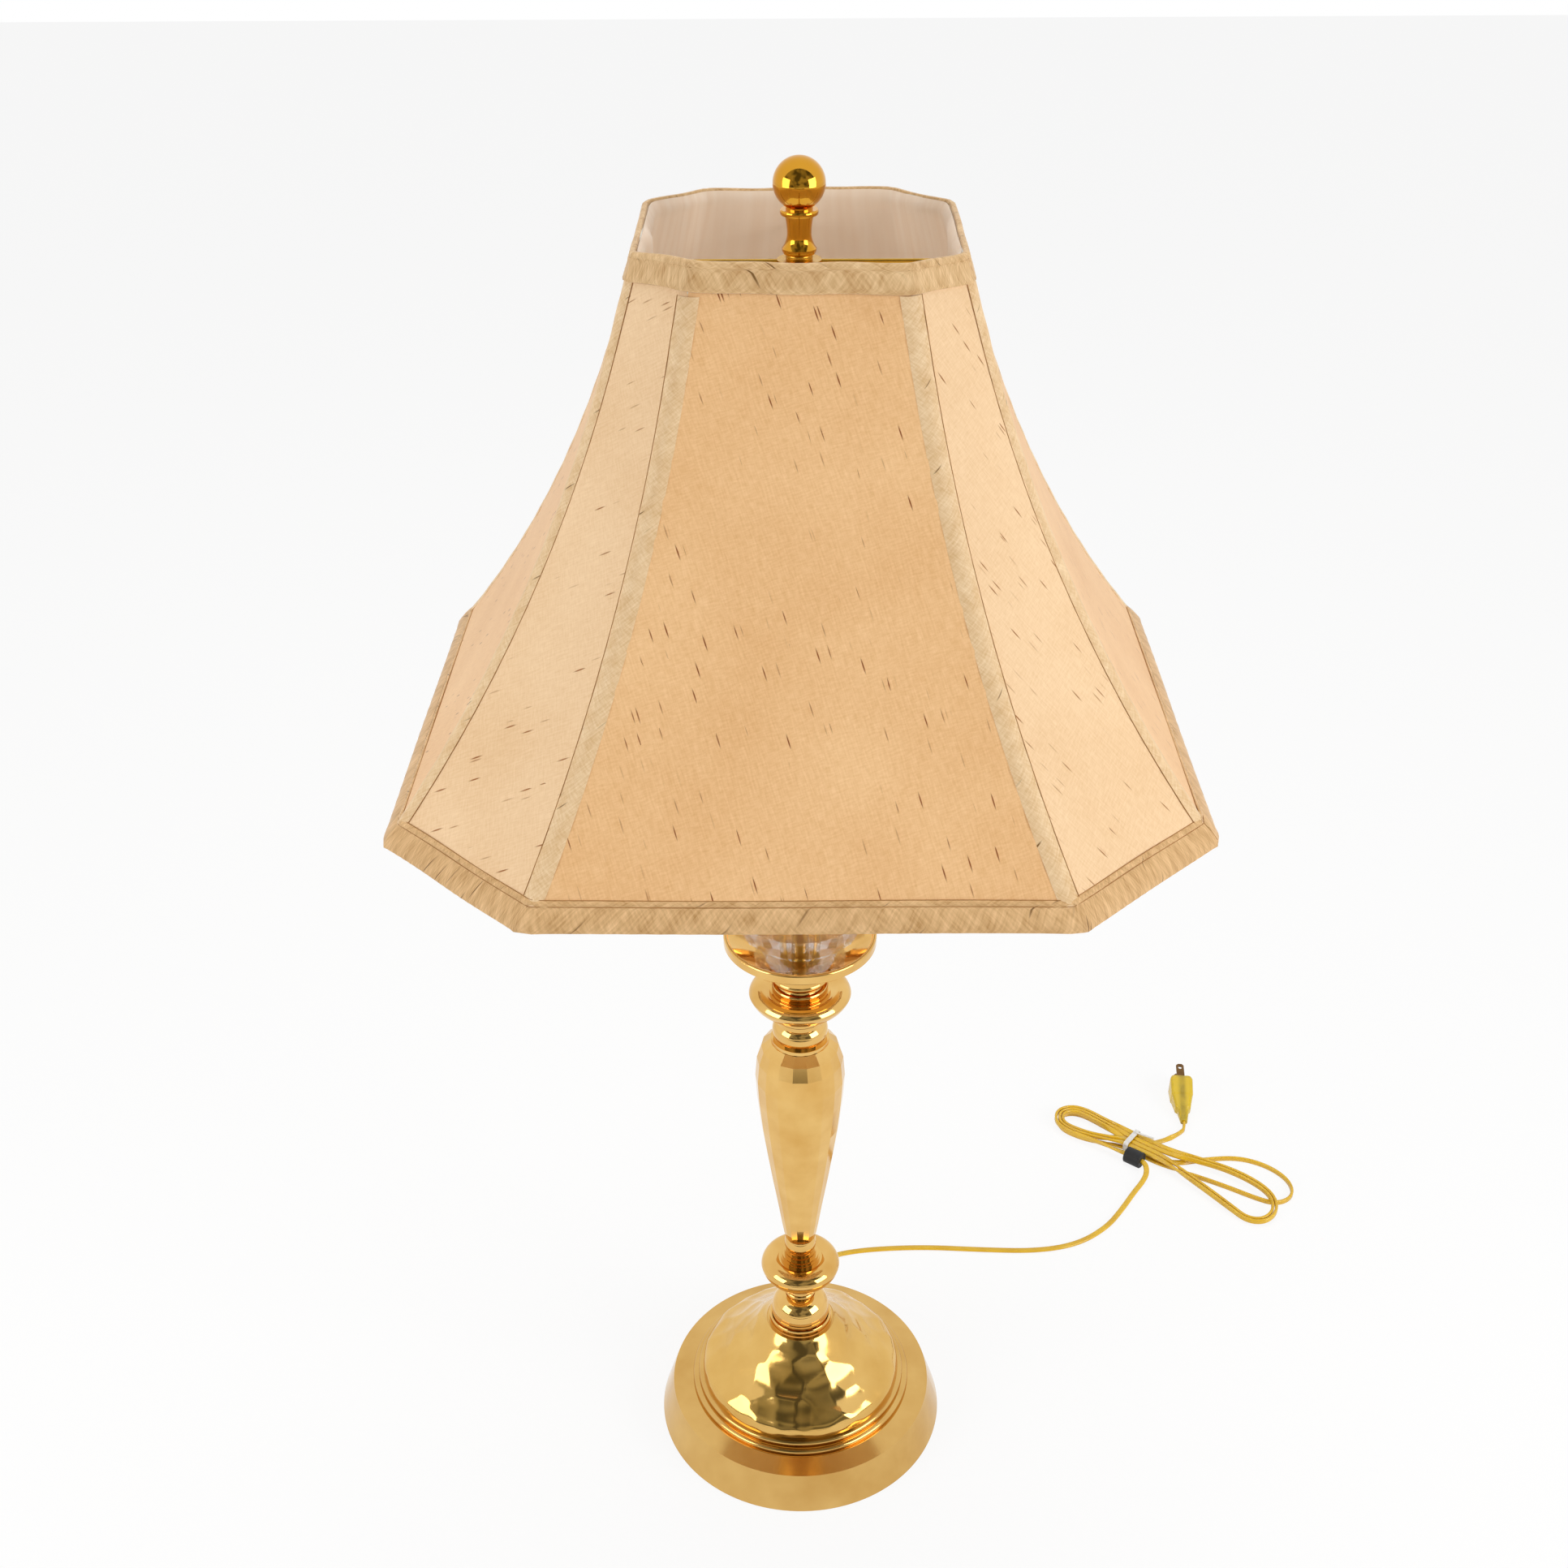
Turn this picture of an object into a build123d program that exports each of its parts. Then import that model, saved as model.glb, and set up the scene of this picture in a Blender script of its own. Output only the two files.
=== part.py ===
from build123d import *
import os
from itertools import combinations
from math import atan, atan2, cos, degrees, dist, pi, radians, sin, sqrt, tan

os.makedirs("parts", exist_ok=True)

# Clearances
slide_gap = 0.2
seam_gap = 0.1
layer_gap = 0.3
turn_gap = 0.1

# Weighted base under its spun brass shell
base_radius = 95.0
rim_z = 0.8
shell_wall = 1.2
skirt_top_radius = 87.2
skirt_top_z = 25.2
ledge_radius = 74.6
ledge_rise = 3.0
lower_bead_radius = 73.6
upper_bead_radius = 69.8
bead_height = 3.8
bead_depth = 1.2
dome_radius = 66.5
dome_shoulder_radius = 60.0
dome_shoulder_rise = 10.6
dome_top_radius = 22.5
dome_top_z = 80.0
felt_thickness = 2.0
felt_inset = 1.0
weight_inset = 15.0
weight_thickness = 12.0
weight_pocket_radius = 16.0
weight_pocket_depth = 6.4
nut_radius = 8.6
nut_thickness = 4.0
washer_radius = 13.0
washer_thickness = 1.6
groove_half_width = 4.5
groove_depth = 7.5

# Pipe and wire through the whole stem
pipe_radius = 5.0
pipe_bore_radius = 3.5
pipe_foot_z = 3.2
pipe_top_reach = 7.0
wire_radius = 2.7

# Turned brass: each stretch is radius below, radius above, height, bulge of its edge
vase_collar_turning = (
    (21.4, 21.4, 2.2, 0),
    (20.0, 20.0, 0.9, 0),
    (20.2, 20.2, 2.6, 0.5),
    (18.4, 18.4, 1.3, 0),
    (19.2, 19.2, 1.6, 0),
    (18.8, 10.0, 14.4, 3.2),
    (9.2, 9.2, 1.2, 0),
    (9.6, 9.6, 2.4, 0.6),
    (9.2, 9.2, 3.4, 0),
)
lower_knop_radius = 25.8
lower_knop_turning = (
    (9.4, 9.4, 3.0, 0),
    (9.4, 14.0, 6.0, -0.8),
    (14.0, lower_knop_radius, 10.6, 3.0),
    (lower_knop_radius, 16.8, 6.6, 2.4),
    (16.8, 14.4, -1.2, 0),
)
knop_ring_turning = (
    (12.9, 12.9, 2.2, 0),
    (12.0, 12.0, 2.0, 0),
    (10.5, 10.5, 2.8, 0),
    (9.4, 9.4, 1.4, 0),
    (9.2, 9.2, 10.0, 1.1),
    (9.0, 9.0, 1.0, 0),
)
neck_bead_turning = (
    (17.8, 17.8, 2.5, 0),
    (15.8, 15.8, 1.4, 0),
    (15.8, 13.6, 11.4, 2.2),
    (14.6, 14.6, 2.7, 0),
)
upper_knop_radius = 30.9
upper_knop_turning = (
    (14.4, 14.4, 1.5, 0),
    (14.4, 17.5, 6.5, -0.8),
    (17.5, upper_knop_radius, 9.8, 2.8),
    (upper_knop_radius, 22.6, 4.9, 2.0),
    (22.6, 18.6, -1.2, 0),
)
cup_collar_turning = (
    (16.4, 16.4, 3.3, 0.6),
    (14.0, 14.0, 4.2, -0.5),
    (16.9, 16.9, 3.0, 0.6),
    (16.2, 16.2, 0.8, 0),
    (18.0, 18.0, 4.2, 0),
)
crystal_seat_turning = ((12.0, 12.0, 3.6, 0),)
crystal_cap_turning = (
    (19.6, 19.6, 2.4, 0),
    (18.6, 18.6, 1.0, 0),
    (18.6, 9.6, 7.0, 2.4),
    (8.4, 8.4, 1.6, 0),
)
cap_neck_turning = (
    (7.6, 7.6, 12.4, -0.6),
    (9.4, 9.4, 3.6, 0.5),
)
finial_turning = (
    (7.6, 8.5, 2.6, 0.3),
    (8.5, 6.0, 7.4, -0.7),
    (6.0, 7.2, 8.7, -0.3),
    (9.0, 9.0, 2.6, 0.4),
    (6.6, 6.6, 1.2, 0),
)
finial_ball_radius = 12.8

# Faceted baluster: height above its foot and radius at each station
baluster_sides = 18
baluster_stations = (
    (0.0, 9.7),
    (5.6, 10.9),
    (13.6, 12.2),
    (30.6, 14.7),
    (52.6, 18.2),
    (74.6, 21.4),
    (95.6, 24.3),
    (116.6, 26.4),
    (133.6, 27.4),
    (147.6, 26.3),
    (156.6, 23.5),
    (161.6, 18.0),
)

# Brass cup and the cut crystal that stands in it
cup_foot_radius = 18.0
cup_floor = 2.0
cup_flare_radius = 44.0
cup_flare_rise = 18.0
cup_lip_radius = 45.5
cup_lip_height = 7.0
cup_lip_wall = 2.6
crystal_sides = 16
crystal_stations = (
    (0.0, 20.0),
    (9.0, 23.0),
    (15.5, 25.5),
    (24.0, 35.0),
    (38.0, 39.0),
    (62.0, 38.0),
    (95.0, 32.0),
    (122.0, 24.5),
    (140.0, 20.5),
)

# Lamp socket with its turn switch
saddle_thickness = 1.5
saddle_half_depth = 6.5
saddle_arm_rise = 14.0
socket_radius = 16.6
socket_wall = 0.7
socket_hub_radius = 7.6
socket_hub_height = 4.0
socket_cap_height = 18.0
socket_shell_sink = 4.0
socket_shell_height = 46.0
liner_wall = 0.6
socket_base_height = 20.0
screw_shell_bore = 13.4
screw_shell_wall = 0.5
contact_radius = 4.0
contact_height = 2.0
switch_rise = 13.0
switch_stem_radius = 1.7
switch_stem_depth = 8.0
switch_stem_reach = 22.0
knob_radius = 6.2
knob_length = 13.0
knob_grip_half_width = 2.6
knob_grip_sink = 8.5

# Harp that carries the shade
harp_wire_radius = 2.0
harp_foot_half_width = 29.0
harp_belly_half_width = 54.0
harp_top_half_width = 16.0
harp_height = 240.4
harp_post_height = 29.0
harp_straight_height = 58.0
harp_belly_low = 107.0
harp_belly_high = 167.0
harp_bends = (40.0, 60.0, 70.0, 18.0)
ferrule_radius = 3.8
ferrule_height = 14.0
ferrule_seat_height = 23.0
stud_hub_radius = 5.5
stud_hub_height = 4.0
stud_radius = 3.1
stud_height = 16.0

# Bell shade of eight cloth panels on a wire frame
shade_recess = 18.0
shade_height = 270.1
shade_top_half_width = 78.6
shade_bottom_half_width = 206.2
shade_sag = 16.4
shade_side_ratio = 0.63
panel_thickness = 0.8
panel_hem = 0.8
tape_half_width = 6.0
tape_thickness = 0.7
trim_thickness = 0.9
top_trim_height = 14.5
bottom_trim_height = 11.5
frame_wire_radius = 1.2
frame_bend = 6.0
wall_lean = 1.45
lining_thickness = 0.5
lining_top_drop = 7.0
lining_bottom_lift = 5.5
spider_washer_radius = 11.0
spider_washer_thickness = 2.4
spider_boss_radius = 6.4
spider_boss_height = 2.6
spider_wire_radius = 1.1
spider_bend = 5.0
spider_knee_inset = 11.0

# Supply cord, with its rubber sleeve, hank, tie and plug
cord_radius = 1.95
cord_pitch = 4.45
waist_pitch = 4.9
cord_layer = 4.4
grommet_z = 9.5
grommet_radius = 3.9
grommet_depth = 8.6
grommet_flange_radius = 5.4
grommet_flange_gap = 0.65
grommet_flange_thickness = 2.0
lead_start = 2.0
lead_straight = 9.9
lead_route = (
    (6.5, 123.0, 4.2),
    (25, 137.0, 2.1),
    (52, 143.2, 2.0),
    (95, 145.6, 2.0),
    (140, 142.6, 2.0),
    (180, 141.4, 2.0),
    (212, 148.6, 2.0),
    (236.5, 166.5, 2.0),
    (251, 186.0, 2.0),
)
hank_centre = (278.75, 255.6)
hank_turn = -37.67
hank_low_z = 1.98
waist_lift = 0.95
sleeve_line = -17.5
sleeve_start = 8.0
sleeve_end = -6.0
sleeve_radius = 6.5
sleeve_bore_radius = 2.25
sleeve_mouth = 3.2
sleeve_lead_in = (
    (18.5, -48.0, 2.0),
    (18.6, -36.0, 2.6),
    (17.4, -25.8, 4.6),
)
tie_place = -11.0
tie_width = 4.0
tie_thickness = 0.5
tie_gap = 0.35
tie_slack = 1.1
tie_tail_length = 16.0
tail_straight = 7.0
tail_bend = (
    (12.4, 30.2, 0.1),
    (14.2, 36.8, 0.4),
)
plug_rear = (317.2, 287.4, 3.4)
plug_face = (320.4, 328.4, 11.2)
plug_sections = (
    (0.0, 5.6, 5.6),
    (0.14, 7.6, 7.4),
    (0.27, 9.2, 9.6),
    (0.31, 12.6, 10.4),
    (0.57, 16.4, 14.4),
    (0.61, 17.8, 15.6),
    (0.93, 18.4, 21.4),
    (1.0, 16.8, 19.8),
)
plug_corner = 2.6
blade_spacing = 12.7
blade_thickness = 1.5
blade_length = 15.0
blade_half_widths = (3.15, 3.95)
blade_hole_radius = 1.6


# Heights of the stacked pieces, each on top of the one before
def height_of(turning):
    return sum(stretch[2] for stretch in turning)


collar_z = dome_top_z
lower_knop_z = collar_z + height_of(vase_collar_turning)
knop_ring_z = lower_knop_z + height_of(lower_knop_turning)
baluster_z = knop_ring_z + height_of(knop_ring_turning)
neck_bead_z = baluster_z + baluster_stations[-1][0]
upper_knop_z = neck_bead_z + height_of(neck_bead_turning)
cup_collar_z = upper_knop_z + height_of(upper_knop_turning)
cup_z = cup_collar_z + height_of(cup_collar_turning)
crystal_seat_z = cup_z + cup_floor
crystal_z = crystal_seat_z + height_of(crystal_seat_turning)
crystal_cap_z = crystal_z + crystal_stations[-1][0]
cap_neck_z = crystal_cap_z + height_of(crystal_cap_turning)
saddle_z = cap_neck_z + height_of(cap_neck_turning)
socket_z = saddle_z + saddle_thickness
shell_z = socket_z + socket_cap_height - socket_shell_sink
socket_top_z = shell_z + socket_shell_height
harp_z = saddle_z + harp_height
stud_z = harp_z + harp_wire_radius
washer_z = stud_z + stud_hub_height + turn_gap
finial_z = washer_z + spider_washer_thickness + spider_boss_height + turn_gap
shade_top_z = washer_z + shade_recess
shade_bottom_z = shade_top_z - shade_height
pipe_hole_radius = pipe_radius + slide_gap
weight_radius = base_radius - weight_inset


# Radius of the slanted skirt at a height, which the grommet sits in
def skirt_radius(z):
    return base_radius + (skirt_top_radius - base_radius) * (z - rim_z) / (skirt_top_z - rim_z)


grommet_flange_start = grommet_flange_gap + max(skirt_radius(grommet_z - grommet_flange_radius),
                                                skirt_radius(grommet_z + grommet_flange_radius))
grommet_inner_reach = grommet_flange_start - grommet_depth


# A turned piece: rings, beads and coves stacked upwards, with a bore down the middle
def turned(foot_z, turning, bore_radius):
    with BuildPart() as piece:
        with BuildSketch(Plane.XZ):
            with BuildLine():
                z = foot_z
                corner = (bore_radius, z)
                for low_radius, high_radius, height, bulge in turning:
                    foot = (low_radius, z)
                    z = z + height
                    head = (high_radius, z)
                    if corner != foot:
                        Line(corner, foot)
                    if bulge:
                        SagittaArc(foot, head, -bulge)
                    else:
                        Line(foot, head)
                    corner = head
                Polyline(corner, (bore_radius, z), (bore_radius, foot_z))
            make_face()
        revolve(axis=Axis.Z)
    return piece


# A piece with flat facets all round, lofted through its stations
def faceted(foot_z, stations, sides, bore_radius):
    with BuildPart() as piece:
        for height, radius in stations:
            with BuildSketch(Plane.XY.offset(foot_z + height)):
                RegularPolygon(radius / cos(radians(180 / sides)), sides, rotation=180 / sides - 90)
        loft(ruled=True)
        with BuildSketch(Plane.XY.offset(foot_z)):
            Circle(bore_radius)
        extrude(amount=stations[-1][0], mode=Mode.SUBTRACT)
    return piece


# A round wire along a line that is already drawn
def along(line, radius):
    with BuildSketch(Plane(origin=line @ 0, z_dir=line % 0)) as section:
        Circle(radius)
    sweep(section.sketch, path=line)


# Base shell: slanted skirt, ledge, two beads and a dome, hollow below
with BuildPart() as base_shell:
    bead_z = skirt_top_z + ledge_rise
    upper_bead_z = bead_z + bead_height
    dome_z = upper_bead_z + bead_height
    with BuildSketch(Plane.XZ):
        with BuildLine():
            lower_foot = (lower_bead_radius - bead_depth, bead_z)
            lower_head = (lower_bead_radius - bead_depth, upper_bead_z)
            upper_foot = (upper_bead_radius - bead_depth, upper_bead_z)
            upper_head = (upper_bead_radius - bead_depth, dome_z)
            shoulder = (dome_shoulder_radius, dome_z + dome_shoulder_rise)
            Polyline((0, rim_z), (base_radius, rim_z), (skirt_top_radius, skirt_top_z),
                     (ledge_radius, bead_z), lower_foot)
            SagittaArc(lower_foot, lower_head, -bead_depth)
            Line(lower_head, upper_foot)
            SagittaArc(upper_foot, upper_head, -bead_depth)
            Line(upper_head, (dome_radius, dome_z))
            swell = TangentArc((dome_radius, dome_z), shoulder, tangent=(-0.1, 1))
            TangentArc(shoulder, (dome_top_radius, dome_top_z), tangent=swell % 1)
            Polyline((dome_top_radius, dome_top_z), (0, dome_top_z), (0, rim_z))
        make_face()
    revolve(axis=Axis.Z)
    with BuildSketch(Plane.XZ):
        with BuildLine():
            inner_shoulder = (dome_shoulder_radius - shell_wall, dome_z + dome_shoulder_rise - shell_wall)
            inner_top = (dome_top_radius - shell_wall, dome_top_z - shell_wall)
            inner_dome = (dome_radius - shell_wall, dome_z)
            Polyline((0, 0), (base_radius - shell_wall, 0), (base_radius - shell_wall, rim_z),
                     (skirt_top_radius - shell_wall, skirt_top_z - shell_wall / 2),
                     (ledge_radius - shell_wall, bead_z - shell_wall),
                     (upper_bead_radius - bead_depth - shell_wall, upper_bead_z - shell_wall), inner_dome)
            inner_swell = TangentArc(inner_dome, inner_shoulder, tangent=(-0.1, 1))
            TangentArc(inner_shoulder, inner_top, tangent=inner_swell % 1)
            Polyline(inner_top, (0, dome_top_z - shell_wall), (0, 0))
        make_face()
    revolve(axis=Axis.Z, mode=Mode.SUBTRACT)
    with BuildSketch(Plane.XY.offset(dome_top_z - 2 * shell_wall)):
        Circle(pipe_hole_radius)
    extrude(amount=3 * shell_wall, mode=Mode.SUBTRACT)
    with BuildSketch(Plane.XZ.offset(-weight_radius)):
        with Locations((0, grommet_z)):
            Circle(grommet_radius + slide_gap)
    extrude(amount=-(grommet_flange_start - weight_radius), mode=Mode.SUBTRACT)

# Felt pad that the lamp stands on
with BuildPart() as felt_pad:
    with BuildSketch():
        Circle(base_radius - shell_wall - felt_inset)
    extrude(amount=felt_thickness)

# Cast weight with a pocket for the nut and a groove for the cord
with BuildPart() as base_weight:
    pocket_z = felt_thickness + weight_pocket_depth
    with BuildSketch(Plane.XY.offset(felt_thickness)):
        Circle(weight_radius)
        Circle(weight_pocket_radius, mode=Mode.SUBTRACT)
    extrude(amount=weight_thickness)
    with BuildSketch(Plane.XY.offset(pocket_z)):
        Circle(weight_pocket_radius)
        Circle(pipe_hole_radius, mode=Mode.SUBTRACT)
    extrude(amount=weight_thickness - weight_pocket_depth)
    fillet(base_weight.edges().group_by(Axis.Z)[-1].sort_by(SortBy.LENGTH)[-1], weight_thickness / 4)
    with BuildSketch(Plane.XY.offset(felt_thickness)):
        with BuildLine():
            groove_start = weight_pocket_radius / 2
            Polyline((-groove_half_width, groove_start), (groove_half_width, groove_start),
                     (groove_half_width, base_radius), (-groove_half_width, base_radius), close=True)
        make_face()
    extrude(amount=groove_depth, mode=Mode.SUBTRACT)

with BuildPart() as base_washer:
    with BuildSketch(Plane.XY.offset(pocket_z - washer_thickness)):
        Circle(washer_radius)
        Circle(pipe_hole_radius, mode=Mode.SUBTRACT)
    extrude(amount=washer_thickness)

with BuildPart() as base_nut:
    with BuildSketch(Plane.XY.offset(pocket_z - washer_thickness - nut_thickness)):
        RegularPolygon(nut_radius, 6)
        Circle(pipe_hole_radius, mode=Mode.SUBTRACT)
    extrude(amount=nut_thickness)

with BuildPart() as lamp_pipe:
    with BuildSketch(Plane.XY.offset(pipe_foot_z)):
        Circle(pipe_radius)
        Circle(pipe_bore_radius, mode=Mode.SUBTRACT)
    extrude(amount=socket_z + pipe_top_reach - pipe_foot_z)

with BuildPart() as pipe_wire:
    with BuildSketch(Plane.XY.offset(pipe_foot_z)):
        Circle(wire_radius)
    extrude(amount=shell_z - pipe_foot_z)

# Grommet where the cord leaves the back of the skirt
with BuildPart() as cord_grommet:
    with BuildSketch(Plane.XZ.offset(-grommet_inner_reach)):
        with Locations((0, grommet_z)):
            Circle(grommet_radius)
    extrude(amount=-(grommet_flange_start - grommet_inner_reach))
    with BuildSketch(Plane.XZ.offset(-grommet_flange_start)):
        with Locations((0, grommet_z)):
            Circle(grommet_flange_radius)
    extrude(amount=-grommet_flange_thickness)
    fillet(cord_grommet.edges().group_by(Axis.Y)[-1], grommet_flange_thickness / 2)
    with BuildSketch(Plane.XZ.offset(-grommet_inner_reach)):
        with Locations((0, grommet_z)):
            Circle(cord_radius + slide_gap)
    extrude(amount=-base_radius, mode=Mode.SUBTRACT)

# Stem, from the collar on the dome to the harp's saddle
vase_collar = turned(collar_z, vase_collar_turning, pipe_hole_radius)
lower_knop = turned(lower_knop_z, lower_knop_turning, pipe_hole_radius)
knop_ring = turned(knop_ring_z, knop_ring_turning, pipe_hole_radius)
baluster = faceted(baluster_z, baluster_stations, baluster_sides, pipe_hole_radius)
neck_bead = turned(neck_bead_z, neck_bead_turning, pipe_hole_radius)
upper_knop = turned(upper_knop_z, upper_knop_turning, pipe_hole_radius)
cup_collar = turned(cup_collar_z, cup_collar_turning, pipe_hole_radius)
crystal_seat = turned(crystal_seat_z, crystal_seat_turning, pipe_hole_radius)
crystal_body = faceted(crystal_z, crystal_stations, crystal_sides, pipe_hole_radius)
crystal_cap = turned(crystal_cap_z, crystal_cap_turning, pipe_hole_radius)
cap_neck = turned(cap_neck_z, cap_neck_turning, pipe_hole_radius)

# Shallow cup with a thick rolled lip
with BuildPart() as brass_cup:
    with BuildSketch(Plane.XZ):
        with BuildLine():
            flare_z = cup_z + cup_flare_rise
            lip_z = flare_z + cup_lip_height
            lip_inside = cup_lip_radius - cup_lip_wall
            Polyline((pipe_hole_radius, cup_z), (cup_foot_radius, cup_z), (cup_flare_radius, flare_z),
                     (cup_lip_radius, flare_z + cup_lip_wall / 2), (cup_lip_radius, lip_z - cup_lip_wall / 2))
            ThreePointArc((cup_lip_radius, lip_z - cup_lip_wall / 2),
                          (cup_lip_radius - cup_lip_wall / 2, lip_z),
                          (lip_inside, lip_z - cup_lip_wall / 2))
            Polyline((lip_inside, lip_z - cup_lip_wall / 2), (lip_inside, flare_z + cup_lip_wall / 2),
                     (cup_foot_radius - cup_floor, cup_z + cup_floor), (pipe_hole_radius, cup_z + cup_floor),
                     (pipe_hole_radius, cup_z))
        make_face()
    revolve(axis=Axis.Z)

# Saddle: a strip under the socket, turned up at both ends into round posts
with BuildPart() as harp_saddle:
    post_z = saddle_z + saddle_arm_rise
    seat_z = saddle_z + ferrule_seat_height
    outer_x = harp_foot_half_width + saddle_thickness / 2
    inner_x = harp_foot_half_width - saddle_thickness / 2
    with BuildSketch(Plane.XZ):
        with BuildLine():
            Polyline((-outer_x, post_z), (-outer_x, saddle_z), (outer_x, saddle_z), (outer_x, post_z),
                     (inner_x, post_z), (inner_x, socket_z), (-inner_x, socket_z), (-inner_x, post_z),
                     close=True)
        make_face()
    extrude(amount=saddle_half_depth, both=True)
    fillet(harp_saddle.edges().filter_by(Axis.Y).group_by(Axis.Z)[0], 3 * saddle_thickness)
    fillet(harp_saddle.edges().filter_by(Axis.X).group_by(Axis.Z)[-1], saddle_half_depth / 2)
    with BuildSketch(Plane.XY.offset(saddle_z)):
        Circle(pipe_hole_radius)
    extrude(amount=saddle_thickness, mode=Mode.SUBTRACT)
    with BuildSketch(Plane.XY.offset(post_z)):
        with Locations((-harp_foot_half_width, 0), (harp_foot_half_width, 0)):
            Circle(ferrule_radius - layer_gap)
    extrude(amount=seat_z - post_z)
    with BuildSketch(Plane.XY.offset(seat_z)):
        with Locations((-harp_foot_half_width, 0), (harp_foot_half_width, 0)):
            Circle(harp_wire_radius)
    extrude(amount=harp_post_height - ferrule_seat_height)

# Harp wire, bellied out round the bulb and drawn in under the shade
with BuildPart() as harp:
    harp_foot_z = saddle_z + harp_post_height
    right_side = [
        (harp_foot_half_width, 0, saddle_z + harp_straight_height),
        (harp_belly_half_width, 0, saddle_z + harp_belly_low),
        (harp_belly_half_width, 0, saddle_z + harp_belly_high),
        (harp_top_half_width, 0, harp_z),
    ]
    left_side = [(-x, y, z) for x, y, z in reversed(right_side)]
    harp_points = [(harp_foot_half_width, 0, harp_foot_z), *right_side, *left_side,
                   (-harp_foot_half_width, 0, harp_foot_z)]
    with BuildLine() as harp_line:
        FilletPolyline(harp_points, radius=[*harp_bends, *reversed(harp_bends)])
    along(harp_line.line, harp_wire_radius)

harp_stud = turned(stud_z, ((stud_hub_radius, stud_hub_radius, stud_hub_height, 0),
                            (stud_radius, stud_radius, stud_height, 0)), 0)

ferrules = {}
for side, sign in (("left", -1), ("right", 1)):
    with BuildPart() as ferrule:
        with BuildSketch(Plane.XY.offset(saddle_z + ferrule_seat_height + turn_gap)):
            with Locations((sign * harp_foot_half_width, 0)):
                Circle(ferrule_radius)
                Circle(harp_wire_radius + layer_gap, mode=Mode.SUBTRACT)
        extrude(amount=ferrule_height)
        outside = ferrule.edges().filter_by(GeomType.CIRCLE).sort_by(SortBy.RADIUS)[-2:]
        chamfer(outside, (ferrule_radius - harp_wire_radius) / 4)
    ferrules[side] = ferrule

# Socket: brass cap and shell, card liner, moulded base, screw shell and contact
with BuildPart() as socket_cap:
    cap_top_z = socket_z + socket_cap_height
    hub_z = socket_z + socket_hub_height
    cap_bore = socket_radius - socket_wall
    shell_radius = cap_bore - slide_gap
    with BuildSketch(Plane.XZ):
        with BuildLine():
            rim_start = (socket_radius, shell_z)
            inner_start = (cap_bore, shell_z)
            Polyline((pipe_hole_radius, socket_z), (socket_hub_radius, socket_z), (socket_hub_radius, hub_z))
            SagittaArc((socket_hub_radius, hub_z), rim_start, -socket_wall * 3)
            Polyline(rim_start, (socket_radius, cap_top_z), (cap_bore, cap_top_z), inner_start)
            SagittaArc(inner_start, (socket_hub_radius, hub_z + socket_wall), socket_wall * 3)
            Polyline((socket_hub_radius, hub_z + socket_wall), (pipe_hole_radius, hub_z + socket_wall),
                     (pipe_hole_radius, socket_z))
        make_face()
    revolve(axis=Axis.Z)

liner_radius = shell_radius - socket_wall - slide_gap
switch_z = shell_z + switch_rise
switch_plane = Plane(origin=(0, 0, switch_z), x_dir=(1, 0, 0), z_dir=(0, -1, 0))


def sleeve_with_switch_hole(radius, wall):
    with BuildPart() as piece:
        with BuildSketch(Plane.XY.offset(shell_z)):
            Circle(radius)
            Circle(radius - wall, mode=Mode.SUBTRACT)
        extrude(amount=socket_shell_height)
        with BuildSketch(switch_plane):
            Circle(switch_stem_radius + layer_gap)
        extrude(amount=socket_radius, mode=Mode.SUBTRACT)
    return piece


socket_shell = sleeve_with_switch_hole(shell_radius, socket_wall)
socket_liner = sleeve_with_switch_hole(liner_radius, liner_wall)

socket_base_z = shell_z + socket_base_height
with BuildPart() as socket_base:
    with BuildSketch(Plane.XY.offset(shell_z)):
        Circle(liner_radius - liner_wall - slide_gap)
    extrude(amount=socket_base_height)
    chamfer(socket_base.edges().group_by(Axis.Z)[-1], socket_wall)
    with BuildSketch(switch_plane.offset(switch_stem_depth)):
        Circle(switch_stem_radius + turn_gap)
    extrude(amount=socket_radius, mode=Mode.SUBTRACT)
    with BuildSketch(Plane.XY.offset(socket_base_z)):
        Circle(contact_radius + seam_gap)
    extrude(amount=-contact_height, mode=Mode.SUBTRACT)

with BuildPart() as screw_shell:
    with BuildSketch(Plane.XY.offset(socket_base_z)):
        Circle(screw_shell_bore + screw_shell_wall)
        Circle(screw_shell_bore, mode=Mode.SUBTRACT)
    extrude(amount=socket_top_z - socket_base_z)

with BuildPart() as centre_contact:
    with BuildSketch(Plane.XY.offset(socket_base_z - contact_height)):
        Circle(contact_radius)
    extrude(amount=contact_height)
    chamfer(centre_contact.edges().group_by(Axis.Z)[-1], contact_height / 3)

# Turn switch: a stem in the base and a winged knob on its end
with BuildPart() as switch_stem:
    with BuildSketch(switch_plane.offset(switch_stem_depth)):
        Circle(switch_stem_radius)
    extrude(amount=switch_stem_reach - switch_stem_depth)

with BuildPart() as switch_knob:
    with BuildSketch(switch_plane.offset(switch_stem_reach)):
        Circle(knob_radius)
    extrude(amount=knob_length)
    grip_plane = switch_plane.offset(switch_stem_reach + knob_length - knob_grip_sink)
    with BuildSketch(grip_plane):
        Circle(2 * knob_radius)
        Rectangle(4 * knob_radius, 2 * knob_grip_half_width, mode=Mode.SUBTRACT)
    extrude(amount=knob_length, mode=Mode.SUBTRACT)
    fillet(switch_knob.edges().group_by(Axis.Y)[0], knob_grip_half_width / 3)

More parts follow.
